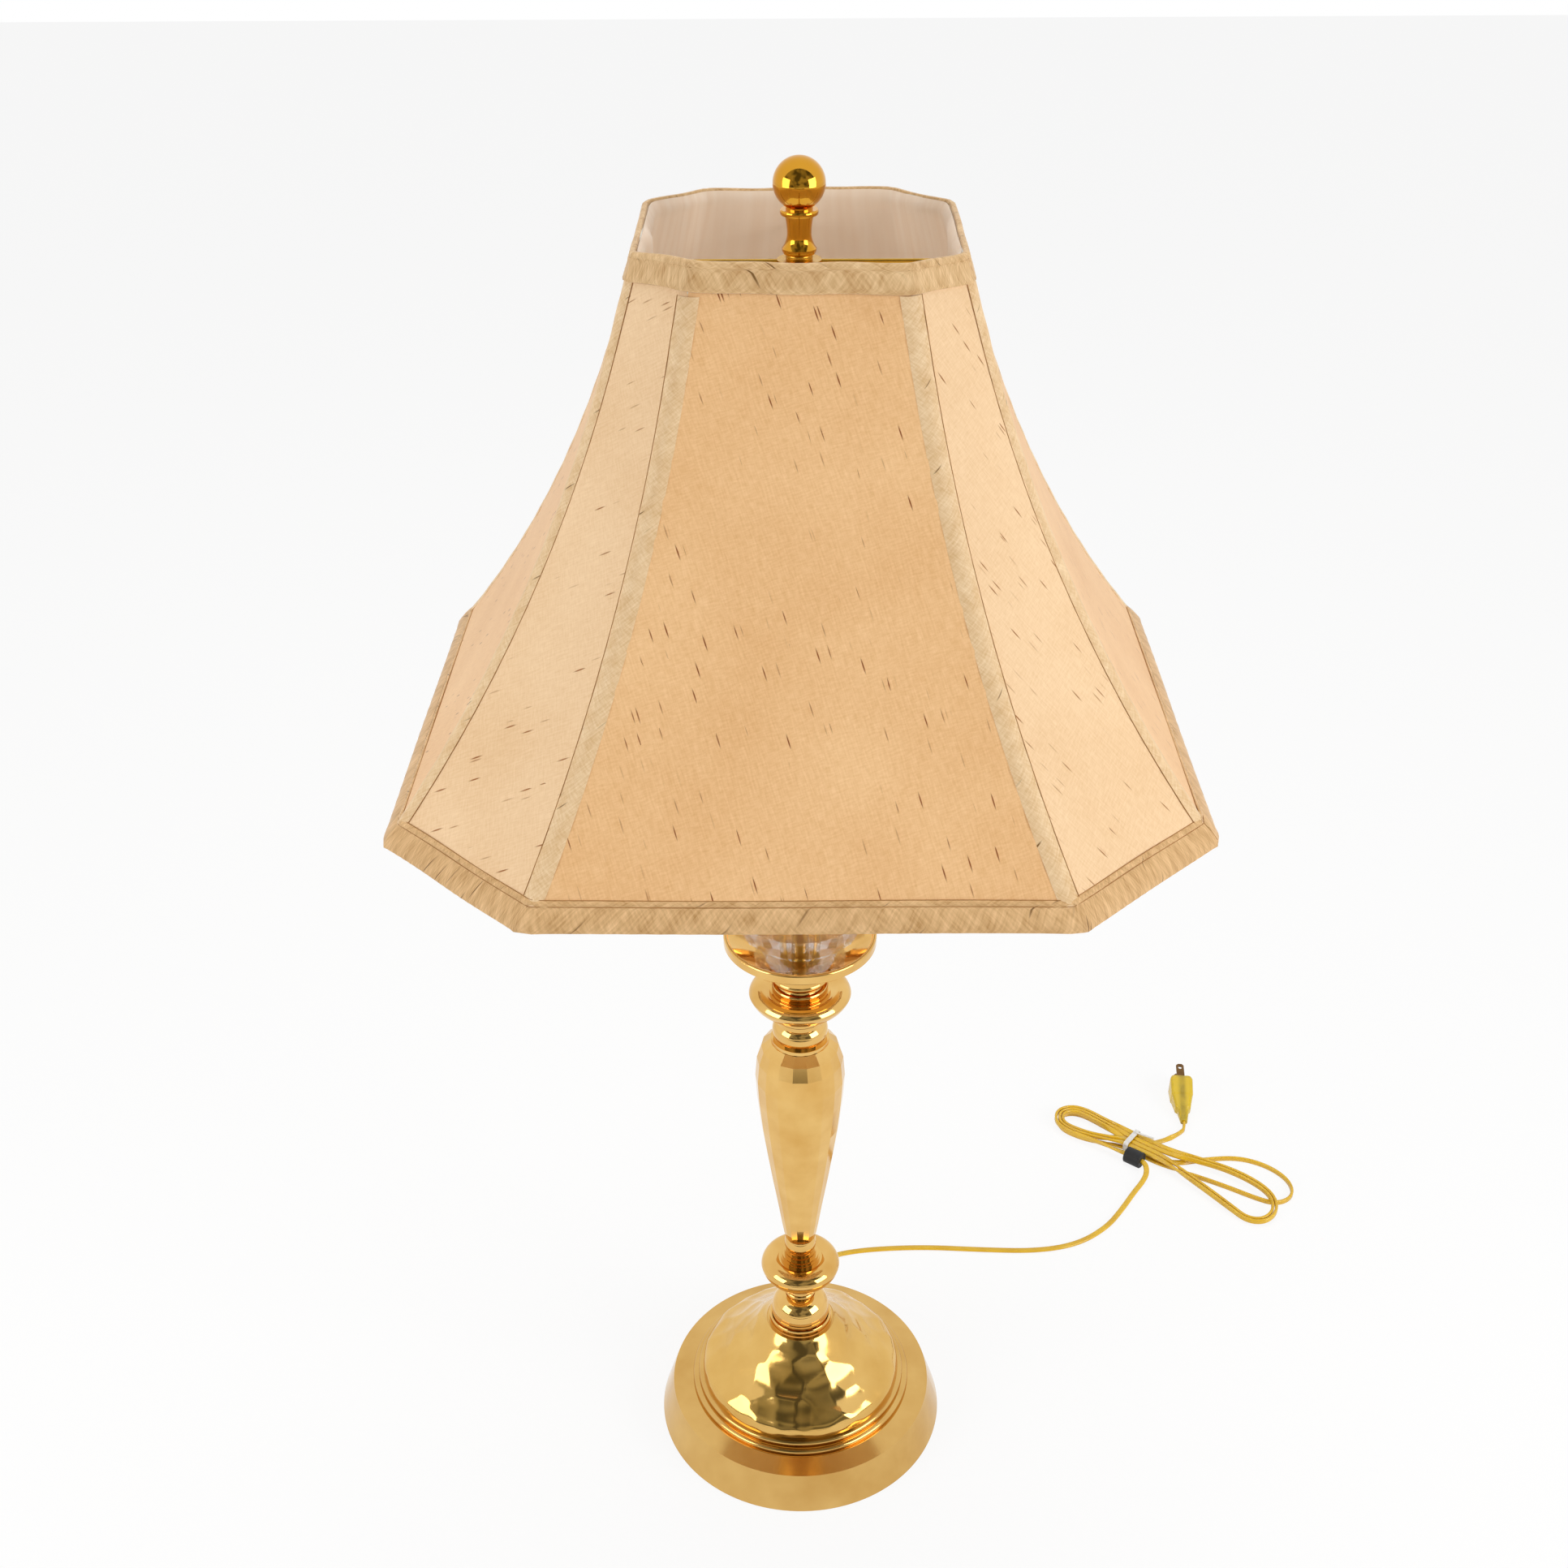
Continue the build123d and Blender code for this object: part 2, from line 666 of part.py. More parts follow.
# Bell line of the shade: one arc, hollow outwards, drawn by its ends and its sag
chord = Vector(shade_bottom_half_width - shade_top_half_width, -shade_height)
bell_radius = (chord.length ** 2 / 4 + shade_sag ** 2) / (2 * shade_sag)
outward = Vector(shade_height, chord.X).normalized()
bell_middle = Vector((shade_top_half_width + shade_bottom_half_width) / 2, shade_top_z - shade_height / 2)
bell_axis = bell_middle + outward * (bell_radius - shade_sag)


def bell(z):
    return bell_axis.X - sqrt(bell_radius ** 2 - (z - bell_axis.Y) ** 2)


# The eight panels: name, direction, half angle and how much further out the corner ones stand
main_half_angle = degrees(atan(shade_side_ratio))
corner_half_angle = 45 - main_half_angle
corner_factor = (1 + shade_side_ratio) * sqrt(0.5)
shade_sides = {}
for main_name, corner_name, direction in (("right", "back_right", 0), ("back", "back_left", 90),
                                          ("left", "front_left", 180), ("front", "front_right", 270)):
    shade_sides[main_name] = (direction, main_half_angle, 1.0)
    shade_sides[corner_name] = (direction + 45, corner_half_angle, corner_factor)


def bell_arc(factor, inset, z_start, z_end):
    z_middle = (z_start + z_end) / 2
    ends = [(factor * bell(z) + inset, z) for z in (z_start, z_middle, z_end)]
    ThreePointArc(*ends)
    return ends[0], ends[2]


# One side of a cloth ring: a layer of the wall cut to its mitres, with a turned-in hem if it has one
def wall_segment(side, inner, outer, z_low, z_high, hem=None, cuts=()):
    direction, half_angle, factor = side
    angle = radians(direction)
    radial_plane = Plane(origin=(0, 0, 0), x_dir=(cos(angle), sin(angle), 0),
                         z_dir=(sin(angle), -cos(angle), 0))
    with BuildPart() as segment:
        with BuildSketch(radial_plane):
            with BuildLine():
                outer_low, outer_high = bell_arc(factor, outer, z_low, z_high)
                inner_low, inner_high = bell_arc(factor, inner, z_low, z_high)
                Line(outer_low, inner_low)
                Line(outer_high, inner_high)
            make_face()
            if hem:
                hem_z, hem_depth = hem
                edge = factor * bell(hem_z)
                with BuildLine():
                    hem_top_z = hem_z + panel_hem
                    Polyline((edge + outer, hem_z), (edge - hem_depth, hem_z),
                             (edge - hem_depth, hem_top_z), (edge + outer, hem_top_z), close=True)
                make_face()
        extrude(amount=shade_bottom_half_width, both=True)
        for turn, inset, keep in cuts:
            edge_angle = radians(direction + turn * half_angle)
            inwards = Vector(turn * sin(edge_angle), -turn * cos(edge_angle), 0)
            split(bisect_by=Plane(origin=inwards * inset, z_dir=inwards), keep=keep)
    return segment.part


both_mitres = ((1, 0, Keep.TOP), (-1, 0, Keep.TOP))
open_mitres = ((1, seam_gap, Keep.TOP), (-1, seam_gap, Keep.TOP))

# Cloth panels, one for each side
panels = {}
for name, side in shade_sides.items():
    with BuildPart() as panel:
        add(wall_segment(side, -panel_thickness, 0, shade_bottom_z + panel_hem + seam_gap,
                         shade_top_z - panel_hem - seam_gap, cuts=open_mitres))
    panels[name] = panel


# A ring of all eight sides, joined at the mitres
def wall_ring(inner, outer, z_low, z_high, hem=None):
    segments = [wall_segment(side, inner, outer, z_low, z_high, hem, both_mitres)
                for side in shade_sides.values()]
    with BuildPart() as ring:
        add(segments)
    return ring


wire_half_space = wall_lean * (layer_gap + frame_wire_radius)
wire_inset = panel_thickness + wire_half_space
lining_inset = wire_inset + wire_half_space
tape_low_z = shade_bottom_z + bottom_trim_height + seam_gap
tape_high_z = shade_top_z - top_trim_height - seam_gap
top_trim = wall_ring(seam_gap, seam_gap + trim_thickness, shade_top_z - top_trim_height, shade_top_z,
                     (shade_top_z - panel_hem, panel_thickness))
bottom_trim = wall_ring(seam_gap, seam_gap + trim_thickness, shade_bottom_z,
                        shade_bottom_z + bottom_trim_height, (shade_bottom_z, lining_inset))
shade_lining = wall_ring(-lining_inset - lining_thickness, -lining_inset, shade_bottom_z + lining_bottom_lift,
                         shade_top_z - lining_top_drop)

# Tapes over the eight ribs, each half on a main panel and half on a corner one
tape_strips = []
for direction, half_angle, factor in shade_sides.values():
    for turn in (1, -1):
        strip_width = tape_half_width * cos(radians(half_angle))
        strip_cuts = ((turn, seam_gap, Keep.TOP), (turn, strip_width, Keep.BOTTOM))
        tape_strips.append(wall_segment((direction, half_angle, factor), seam_gap, seam_gap + tape_thickness,
                                        tape_low_z, tape_high_z, cuts=strip_cuts))
with BuildPart() as rib_tapes:
    add(tape_strips)


# Corner of the wire frame at one height, one for each rib
def frame_corners(z):
    along_side = shade_side_ratio * bell(z) - (sqrt(2) - 1) * wire_inset
    across = bell(z) - wire_inset
    return [(x, y, z) for x, y in ((across, along_side), (along_side, across), (-along_side, across),
                                   (-across, along_side), (-across, -along_side), (-along_side, -across),
                                   (along_side, -across), (across, -along_side))]


top_wire_z = shade_top_z - panel_hem - seam_gap - frame_wire_radius
bottom_wire_z = shade_bottom_z + panel_hem + seam_gap + frame_wire_radius
frame_rings = {}
for ring_name, ring_z in (("top", top_wire_z), ("bottom", bottom_wire_z)):
    with BuildPart() as frame_ring:
        with BuildLine() as ring_line:
            FilletPolyline(frame_corners(ring_z), radius=frame_bend, close=True)
        along(ring_line.line, frame_wire_radius)
    frame_rings[ring_name] = frame_ring

with BuildPart() as shade_ribs:
    rib_clear = frame_wire_radius + seam_gap
    rib_low_z = bottom_wire_z + rib_clear
    rib_high_z = top_wire_z - rib_clear
    rib_heights = (rib_low_z, (rib_low_z + rib_high_z) / 2, rib_high_z)
    for rib_points in zip(*(frame_corners(z) for z in rib_heights)):
        with BuildLine() as rib_line:
            ThreePointArc(*rib_points)
        along(rib_line.line, frame_wire_radius)

# Spider: washer on the harp's stud and four wires up to the top ring
spider_washer = turned(washer_z, ((spider_washer_radius, spider_washer_radius, spider_washer_thickness, 0),
                                  (spider_boss_radius, spider_boss_radius, spider_boss_height, 0.3)),
                       stud_radius + slide_gap)
with BuildPart() as spider_arms:
    spider_wire_z = washer_z + spider_washer_thickness / 2
    ring_inside = bell(top_wire_z) - wire_inset - frame_wire_radius - seam_gap
    knee = ring_inside - spider_knee_inset
    shin = ring_inside - spider_knee_inset / 2
    for turn in range(4):
        angle = radians(90 * turn)
        arm = [(spider_washer_radius + seam_gap, spider_wire_z), (knee, spider_wire_z),
               (shin, top_wire_z), (ring_inside, top_wire_z)]
        with BuildLine() as arm_line:
            FilletPolyline([(r * cos(angle), r * sin(angle), z) for r, z in arm],
                           radius=[spider_bend, spider_bend / 3])
        along(arm_line.line, spider_wire_radius)

# Finial: turned neck under a ball, screwed on the stud
with BuildPart() as finial:
    neck_top_radius = finial_turning[-1][1]
    neck_top_z = finial_z + height_of(finial_turning)
    ball_z = neck_top_z + sqrt(finial_ball_radius ** 2 - neck_top_radius ** 2)
    add(turned(finial_z, finial_turning, 0).part)
    with BuildSketch(Plane.XZ):
        with BuildLine():
            ThreePointArc((neck_top_radius, neck_top_z), (finial_ball_radius, ball_z),
                          (0, ball_z + finial_ball_radius))
            Polyline((0, ball_z + finial_ball_radius), (0, neck_top_z), (neck_top_radius, neck_top_z))
        make_face()
    revolve(axis=Axis.Z)
    with BuildSketch(Plane.XY.offset(finial_z)):
        Circle(stud_radius + slide_gap)
    extrude(amount=stud_z + stud_hub_height + stud_height + layer_gap - finial_z, mode=Mode.SUBTRACT)


# Places on the hank: x runs along it, y across it
def hank_point(x, y, z):
    turn = radians(hank_turn)
    centre_x, centre_y = hank_centre
    return Vector(centre_x + x * cos(turn) - y * sin(turn), centre_y + x * sin(turn) + y * cos(turn), z)


def hank_heading(angle):
    return Vector(cos(radians(hank_turn + angle)), sin(radians(hank_turn + angle)), 0)


# Radii for a laid cord: each bend as large as its two runs allow
def laid_radii(points):
    points = [Vector(point) for point in points]
    radii = []
    for before, corner, after in zip(points, points[1:], points[2:]):
        turn = radians((corner - before).get_angle(after - corner))
        radii.append(0.45 * min((corner - before).length, (after - corner).length) / tan(turn / 2))
    return radii


def laid_cord(points):
    radii = laid_radii(points)
    with BuildPart() as piece:
        with BuildLine() as line:
            FilletPolyline(points, radius=radii)
        along(line.line, cord_radius)
    return piece, sum(run.length for run in line.edges()), radii


# Lead: from the grommet along the table to the sleeve on the hank
sleeve_z = sleeve_radius
sleeve_middle = (sleeve_start + sleeve_end) / 2
lead_points = [
    (0, grommet_inner_reach - lead_start, grommet_z),
    (0, grommet_flange_start + lead_straight, grommet_z),
    *lead_route,
    *(hank_point(x, y, z) for x, y, z in sleeve_lead_in),
    hank_point(sleeve_start + sleeve_mouth, sleeve_line, sleeve_z),
    hank_point(sleeve_middle, sleeve_line, sleeve_z),
]
cord_lead, lead_length, lead_radii = laid_cord(lead_points)

# Two arcs that leave one place along its heading and reach the next along its own meet at this place
def arc_meeting(start, start_heading, end, end_heading):
    span = end - start
    both = start_heading + end_heading
    square = 4 - both.dot(both)
    slope = span.dot(both)
    if square < 1e-9:
        reach = span.dot(span) / (2 * slope)
    else:
        reach = (sqrt(slope ** 2 + square * span.dot(span)) - slope) / square
    return (start + end + (start_heading - end_heading) * reach) * 0.5


# Hank: loops drawn in at the waist, as places along and across it, each with a height and a heading
low = hank_low_z
high = hank_low_z + cord_layer
waist_low = low + waist_lift
waist_high = high + waist_lift
left_lobe = ((-58, -22, 180), (-75.5, -6.5, 90), (-60, 9, 0))
right_lobe = ((66, 16.5, -3), (118, -9, -95), (97, -23, 166), (55, -15, 169))
loose_lobe = ((90, 41.5, -5), (118.5, 22, -92), (103, 4, 184))
left_heights = (high, high, high + waist_lift / 2)
right_heights = (high + waist_lift / 2, high, low + cord_radius, high + 0.7 * waist_lift)


# Places round one lobe, with those where its arcs meet; inner layers keep to the same centres
def lobe(outline, heights, layer=0):
    places = []
    for (x, y, heading), z in zip(outline, heights):
        place = Vector(x, y, z)
        direction = Vector(cos(radians(heading)), sin(radians(heading)), 0)
        if places:
            before, before_direction = places[-1]
            meeting = arc_meeting(before, before_direction, place, direction)
            step = meeting - before
            step = Vector(step.X, step.Y, 0).normalized()
            places.append((meeting, step * (2 * step.dot(before_direction)) - before_direction))
        places.append((place, direction))
    for place, direction in places:
        inwards = Vector(direction.Y, -direction.X, 0) * (layer * cord_pitch)
        heading = degrees(atan2(direction.Y, direction.X))
        yield place.X + inwards.X, place.Y + inwards.Y, place.Z, heading


def waist(step, z, heading):
    return 0, step * waist_pitch, z, heading


hank_places = [
    (sleeve_middle - 4 * cord_radius, sleeve_line, sleeve_z, 180),
    *lobe(left_lobe, left_heights),
    waist(1.5, waist_high, 0),
    *lobe(right_lobe, right_heights),
    waist(-1.5, waist_high, 180),
    *lobe(left_lobe, left_heights, 1),
    waist(0.5, waist_high, 0),
    *lobe(right_lobe, right_heights, 1),
    waist(-0.5, waist_high, 180),
    *lobe(left_lobe, (high, high, high), 2),
    (-20, -2.1, waist_low, -2),
    waist(-0.5, waist_low, 0),
    *lobe(loose_lobe, (low, low, low)),
    waist(-1.5, waist_low, 180),
    *lobe(left_lobe, (low, low, low), 1),
    (-12, 4.3, waist_low, 9),
    (4.2, 13.5, low, 60),
]

with BuildPart() as cord_hank:
    with BuildLine() as hank_line:
        hank_start = hank_point(sleeve_middle, sleeve_line, sleeve_z)
        places = [(hank_point(x, y, z), hank_heading(heading)) for x, y, z, heading in hank_places]
        hank_runs = [Line(hank_start, places[0][0])]
        for (place, heading), (next_place, next_heading) in zip(places, places[1:]):
            meeting = arc_meeting(place, heading, next_place, next_heading)
            hank_runs.append(TangentArc(place, meeting, tangent=heading))
            hank_runs.append(TangentArc(meeting, next_place, tangent=hank_runs[-1] % 1))
        hank_end = places[-1][0] + places[-1][1] * (2 * cord_radius)
        hank_runs.append(Line(places[-1][0], hank_end))
    along(hank_line.line, cord_radius)

# Tail from the hank to the plug
rear = Vector(plug_rear)
plug_axis = (Vector(plug_face) - rear).normalized()
tail_points = [
    hank_end,
    hank_end + places[-1][1] * tail_straight,
    *(hank_point(x, y, low + rise) for x, y, rise in tail_bend),
    rear - plug_axis * tail_straight,
    rear,
]
cord_tail, tail_length, tail_radii = laid_cord(tail_points)

# Rubber sleeve on the cord beside the hank
with BuildPart() as cord_sleeve:
    sleeve_plane = Plane(origin=hank_point(sleeve_start, sleeve_line, sleeve_z), z_dir=hank_heading(180))
    with BuildSketch(sleeve_plane):
        Circle(sleeve_radius)
        Circle(sleeve_bore_radius, mode=Mode.SUBTRACT)
    extrude(amount=sleeve_start - sleeve_end)
    chamfer(cord_sleeve.edges().filter_by(GeomType.CIRCLE).sort_by(SortBy.RADIUS)[-2:], cord_radius / 4)

# Twist tie round the waist, with its twisted ends laid along the top
tie_half_width = 1.5 * waist_pitch + cord_radius + tie_slack
tie_foot = waist_low - cord_radius - tie_gap
tie_head = waist_high + cord_radius + tie_gap
with BuildPart() as twist_tie:
    tie_plane = Plane(origin=hank_point(tie_place, 0, (tie_foot + tie_head) / 2), x_dir=hank_heading(90),
                      z_dir=hank_heading(0))
    with BuildSketch(tie_plane):
        RectangleRounded(2 * (tie_half_width + tie_thickness), tie_head - tie_foot + 2 * tie_thickness,
                         cord_radius + tie_thickness)
        RectangleRounded(2 * tie_half_width, tie_head - tie_foot, cord_radius, mode=Mode.SUBTRACT)
    extrude(amount=tie_width / 2, both=True)
    tail_z = tie_head + 2.5 * tie_thickness
    with BuildSketch(Plane(origin=hank_point(tie_place, tie_half_width / 2, tail_z), z_dir=hank_heading(8))):
        Circle(1.6 * tie_thickness)
    extrude(amount=tie_tail_length)

# Moulded plug lying on its side, and its two blades
plug_length = (Vector(plug_face) - rear).length
plug_plane = Plane(origin=rear, x_dir=(plug_axis.Y, -plug_axis.X, 0), z_dir=plug_axis)
with BuildPart() as plug_body:
    for place, width, depth in plug_sections:
        with BuildSketch(plug_plane.offset(place * plug_length)):
            RectangleRounded(width, depth, plug_corner)
    loft(ruled=True)

with BuildPart() as plug_blades:
    for sign, half_width in zip((-1, 1), blade_half_widths):
        blade_plane = Plane(origin=plug_plane.from_local_coords((0, sign * blade_spacing / 2, plug_length)),
                            x_dir=plug_plane.x_dir, z_dir=plug_plane.y_dir)
        with BuildSketch(blade_plane):
            with BuildLine():
                Polyline((-half_width, 0), (half_width, 0), (half_width, -blade_length + half_width / 2),
                         (half_width / 2, -blade_length), (-half_width / 2, -blade_length),
                         (-half_width, -blade_length + half_width / 2), close=True)
            make_face()
            with Locations((0, -0.75 * blade_length)):
                Circle(blade_hole_radius, mode=Mode.SUBTRACT)
        extrude(amount=blade_thickness / 2, both=True)


# Least gap of the hank's tube to itself, measured on points along its line
def least_gap(runs, radius, step):
    points = []
    travelled = 0
    for run in runs:
        count = max(1, round(run.length / step))
        points.extend((travelled + run.length * i / count, tuple(run @ (i / count))) for i in range(count))
        travelled = travelled + run.length
    apart = 10 * radius
    return min((dist(p, q), s, t) for (s, p), (t, q) in combinations(points, 2) if t - s > apart)


gap, gap_from, gap_to = least_gap(hank_runs, cord_radius, cord_radius / 2)
print("least gap of the hank to itself", round(gap - 2 * cord_radius, 2), "mm, between its points at",
      round(gap_from), "and", round(gap_to), "mm")
print("lead radii", [round(radius) for radius in lead_radii])
print("tail radii", [round(radius) for radius in tail_radii])
section = pi * cord_radius ** 2
for label, piece, length in (("lead", cord_lead, lead_length), ("tail", cord_tail, tail_length),
                             ("hank", cord_hank, sum(run.length for run in hank_runs))):
    print(label, "length", round(length), "mm, volume over section times length",
          round(piece.part.volume / (section * length), 4))

pieces = {
    "felt_pad": felt_pad,
    "base_weight": base_weight,
    "base_shell": base_shell,
    "base_washer": base_washer,
    "base_nut": base_nut,
    "cord_grommet": cord_grommet,
    "lamp_pipe": lamp_pipe,
    "pipe_wire": pipe_wire,
    "vase_collar": vase_collar,
    "lower_knop": lower_knop,
    "knop_ring": knop_ring,
    "baluster": baluster,
    "neck_bead": neck_bead,
    "upper_knop": upper_knop,
    "cup_collar": cup_collar,
    "brass_cup": brass_cup,
    "crystal_seat": crystal_seat,
    "crystal_body": crystal_body,
    "crystal_cap": crystal_cap,
    "cap_neck": cap_neck,
    "harp_saddle": harp_saddle,
    "harp": harp,
    "harp_stud": harp_stud,
    "ferrule_left": ferrules["left"],
    "ferrule_right": ferrules["right"],
    "socket_cap": socket_cap,
    "socket_shell": socket_shell,
    "socket_liner": socket_liner,
    "socket_base": socket_base,
    "screw_shell": screw_shell,
    "centre_contact": centre_contact,
    "switch_stem": switch_stem,
    "switch_knob": switch_knob,
    "spider_washer": spider_washer,
    "spider_arms": spider_arms,
    "shade_top_wire": frame_rings["top"],
    "shade_bottom_wire": frame_rings["bottom"],
    "shade_ribs": shade_ribs,
    "shade_lining": shade_lining,
    "rib_tapes": rib_tapes,
    "top_trim": top_trim,
    "bottom_trim": bottom_trim,
    "finial": finial,
    "cord_lead": cord_lead,
    "cord_hank": cord_hank,
    "cord_tail": cord_tail,
    "cord_sleeve": cord_sleeve,
    "twist_tie": twist_tie,
    "plug_body": plug_body,
    "plug_blades": plug_blades,
}
pieces.update({f"panel_{name}": panel for name, panel in panels.items()})

for name, piece in pieces.items():
    piece.part.label = name
    export_step(piece.part, f"parts/{name}.step")
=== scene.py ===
import bpy
from math import atan, cos, exp, hypot, pi, radians, sin, sqrt, tan
from mathutils import Matrix, Vector


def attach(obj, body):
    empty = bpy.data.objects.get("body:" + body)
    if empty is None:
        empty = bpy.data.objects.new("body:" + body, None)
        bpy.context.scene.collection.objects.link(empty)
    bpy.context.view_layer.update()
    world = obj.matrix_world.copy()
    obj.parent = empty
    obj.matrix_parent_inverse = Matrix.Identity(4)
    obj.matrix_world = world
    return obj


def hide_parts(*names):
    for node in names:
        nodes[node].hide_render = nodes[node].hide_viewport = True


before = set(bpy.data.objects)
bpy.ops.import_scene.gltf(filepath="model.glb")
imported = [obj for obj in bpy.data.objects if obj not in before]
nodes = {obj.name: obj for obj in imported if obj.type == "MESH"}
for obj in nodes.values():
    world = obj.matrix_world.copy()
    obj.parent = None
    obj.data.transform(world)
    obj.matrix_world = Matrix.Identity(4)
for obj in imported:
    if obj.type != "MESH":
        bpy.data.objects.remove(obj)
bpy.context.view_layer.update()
mm = 0.001


# Camera: where the photographer stood, looking down on the lamp
camera_place = Vector((-1.466, -928.85, 1042.95)) * mm
camera_pitch = radians(30.4438)
camera_yaw = radians(-0.4607)
camera_roll = radians(-0.3407)
image_width = 1932
focal_pixels = 2347.85
sensor_width = 36

camera_data = bpy.data.cameras.new("camera")
camera_data.sensor_width = sensor_width
camera_data.lens = sensor_width * focal_pixels / image_width
camera = bpy.data.objects.new("camera", camera_data)
bpy.context.scene.collection.objects.link(camera)
camera.matrix_world = (Matrix.Translation(camera_place) @ Matrix.Rotation(-camera_yaw, 4, "Z")
                       @ Matrix.Rotation(pi / 2 - camera_pitch, 4, "X") @ Matrix.Rotation(camera_roll, 4, "Z"))
bpy.context.scene.camera = camera
bpy.context.scene.view_settings.view_transform = "Standard"


# Colour written as sRGB hex, turned to linear for the shaders
def colour(hex_value):
    channels = [int(hex_value[i:i + 2], 16) / 255 for i in (1, 3, 5)]
    return [c / 12.92 if c <= 0.04045 else ((c + 0.055) / 1.055) ** 2.4 for c in channels] + [1]


# One shader node with its settings; an input is a value or the output that feeds it
def add_node(tree, kind, inputs=None, **settings):
    node = tree.nodes.new(kind)
    for name, value in settings.items():
        setattr(node, name, value)
    for name, value in (inputs or {}).items():
        socket = node.inputs[name]
        if isinstance(value, bpy.types.NodeSocket):
            tree.links.new(value, socket)
        else:
            socket.default_value = value
    return node


# Sockets of a colour mix
first_colour, second_colour, mixed_colour = 6, 7, 2


# A new material: its node tree and the shader that the inputs set
def new_material(name, inputs):
    material = bpy.data.materials.new(name)
    material.use_nodes = True
    tree = material.node_tree
    shader = tree.nodes["Principled BSDF"]
    for socket_name, value in inputs.items():
        shader.inputs[socket_name].default_value = value
    return material, tree, shader


# Polished brass, lacquered: mirror gold with a faint cloud in the polish
def brass(name, bright, deep, roughness, cloud_size):
    material, tree, shader = new_material(name, {"Metallic": 1.0})
    place = add_node(tree, "ShaderNodeTexCoord").outputs["Object"]
    cloud = add_node(tree, "ShaderNodeTexNoise", {"Vector": place, "Scale": 1 / cloud_size,
                                                  "Detail": 3.0}).outputs["Fac"]
    tone = add_node(tree, "ShaderNodeMix", {"Factor": cloud, first_colour: colour(bright),
                                            second_colour: colour(deep)}, data_type="RGBA")
    tree.links.new(tone.outputs[mixed_colour], shader.inputs["Base Color"])
    haze = add_node(tree, "ShaderNodeMapRange", {"Value": cloud, "To Min": 0.6 * roughness,
                                                 "To Max": 1.4 * roughness})
    tree.links.new(haze.outputs["Result"], shader.inputs["Roughness"])
    return material


polished_brass = brass("polished_lacquered_brass", "#F2CB82", "#CF9A48", 0.07, 24 * mm)
finial_brass = brass("deep_gold_brass", "#DFA438", "#CC8E26", 0.07, 20 * mm)
drawn_brass = brass("drawn_brass_wire", "#DDB04A", "#C4922E", 0.24, 12 * mm)
dull_brass = brass("tarnished_brass_blade", "#8A6A44", "#6A4C2C", 0.38, 5 * mm)
spun_brass = brass("spun_brass", "#E6C078", "#C09048", 0.12, 30 * mm)
hammered_brass = brass("hammered_brass", "#EDC67A", "#CA9A4A", 0.12, 30 * mm)


# Slubbed silk: fine cross threads, with dark thick places along the weft, drawn on the piece's own cut
# Threads are 0.3 mm apart in the cloth and drawn 0.9 mm apart, so that they show
thread_streaks = ((9 * mm, 0.9 * mm), (0.9 * mm, 5 * mm))
slub_length = 11 * mm
slub_width = 1.1 * mm


def silk(name, pale, mid, slub_colour, slub_share, cloud_size, sheen):
    material, tree, shader = new_material(name, {"Roughness": 0.6, "Sheen Weight": sheen,
                                                 "Sheen Roughness": 0.35, "Specular IOR Level": 0.3})
    cut = add_node(tree, "ShaderNodeUVMap", uv_map="cut").outputs["UV"]
    streaks = []
    for lengthwise, crosswise in thread_streaks:
        stretched = add_node(tree, "ShaderNodeMapping", {"Vector": cut,
                                                         "Scale": (1 / lengthwise, 1 / crosswise, 1)})
        streaks.append(add_node(tree, "ShaderNodeTexNoise", {"Vector": stretched.outputs[0], "Scale": 1.0,
                                                             "Detail": 2.5, "Roughness": 0.6}).outputs["Fac"])
    weave = add_node(tree, "ShaderNodeMath", {0: streaks[0], 1: streaks[1]}, operation="ADD")
    cloud = add_node(tree, "ShaderNodeTexNoise", {"Vector": cut, "Scale": 1 / cloud_size, "Detail": 2.0})
    shade_of = add_node(tree, "ShaderNodeMath", {0: weave.outputs[0], 1: cloud.outputs["Fac"]}, operation="ADD")
    tone_share = add_node(tree, "ShaderNodeMapRange", {"Value": shade_of.outputs[0], "From Min": 1.0,
                                                       "From Max": 2.0})
    tone = add_node(tree, "ShaderNodeMix", {"Factor": tone_share.outputs[0], first_colour: colour(pale),
                                            second_colour: colour(mid)}, data_type="RGBA")
    slub_cell = add_node(tree, "ShaderNodeMapping", {"Vector": cut,
                                                     "Scale": (1 / slub_length, 1 / slub_width, 1)})
    slubs = add_node(tree, "ShaderNodeTexVoronoi", {"Vector": slub_cell.outputs[0], "Scale": 1.0})
    lot = add_node(tree, "ShaderNodeSeparateColor", {"Color": slubs.outputs["Color"]})
    chosen = add_node(tree, "ShaderNodeMapRange", {"Value": lot.outputs["Red"], "From Min": 1 - slub_share,
                                                   "From Max": 1 - 0.4 * slub_share})
    near = add_node(tree, "ShaderNodeMapRange", {"Value": slubs.outputs["Distance"], "From Min": 0.14,
                                                 "From Max": 0.46, "To Min": 1.0, "To Max": 0.0},
                    interpolation_type="SMOOTHSTEP")
    slub = add_node(tree, "ShaderNodeMath", {0: chosen.outputs[0], 1: near.outputs[0]}, operation="MULTIPLY")
    dyed = add_node(tree, "ShaderNodeMix", {"Factor": slub.outputs[0], first_colour: tone.outputs[mixed_colour],
                                            second_colour: colour(slub_colour)}, data_type="RGBA")
    tree.links.new(dyed.outputs[mixed_colour], shader.inputs["Base Color"])
    relief = add_node(tree, "ShaderNodeMath", {0: weave.outputs[0], 1: slub.outputs[0]}, operation="ADD")
    bump = add_node(tree, "ShaderNodeBump", {"Height": relief.outputs[0], "Strength": 0.25,
                                             "Distance": 0.2 * mm})
    tree.links.new(bump.outputs["Normal"], shader.inputs["Normal"])
    return material


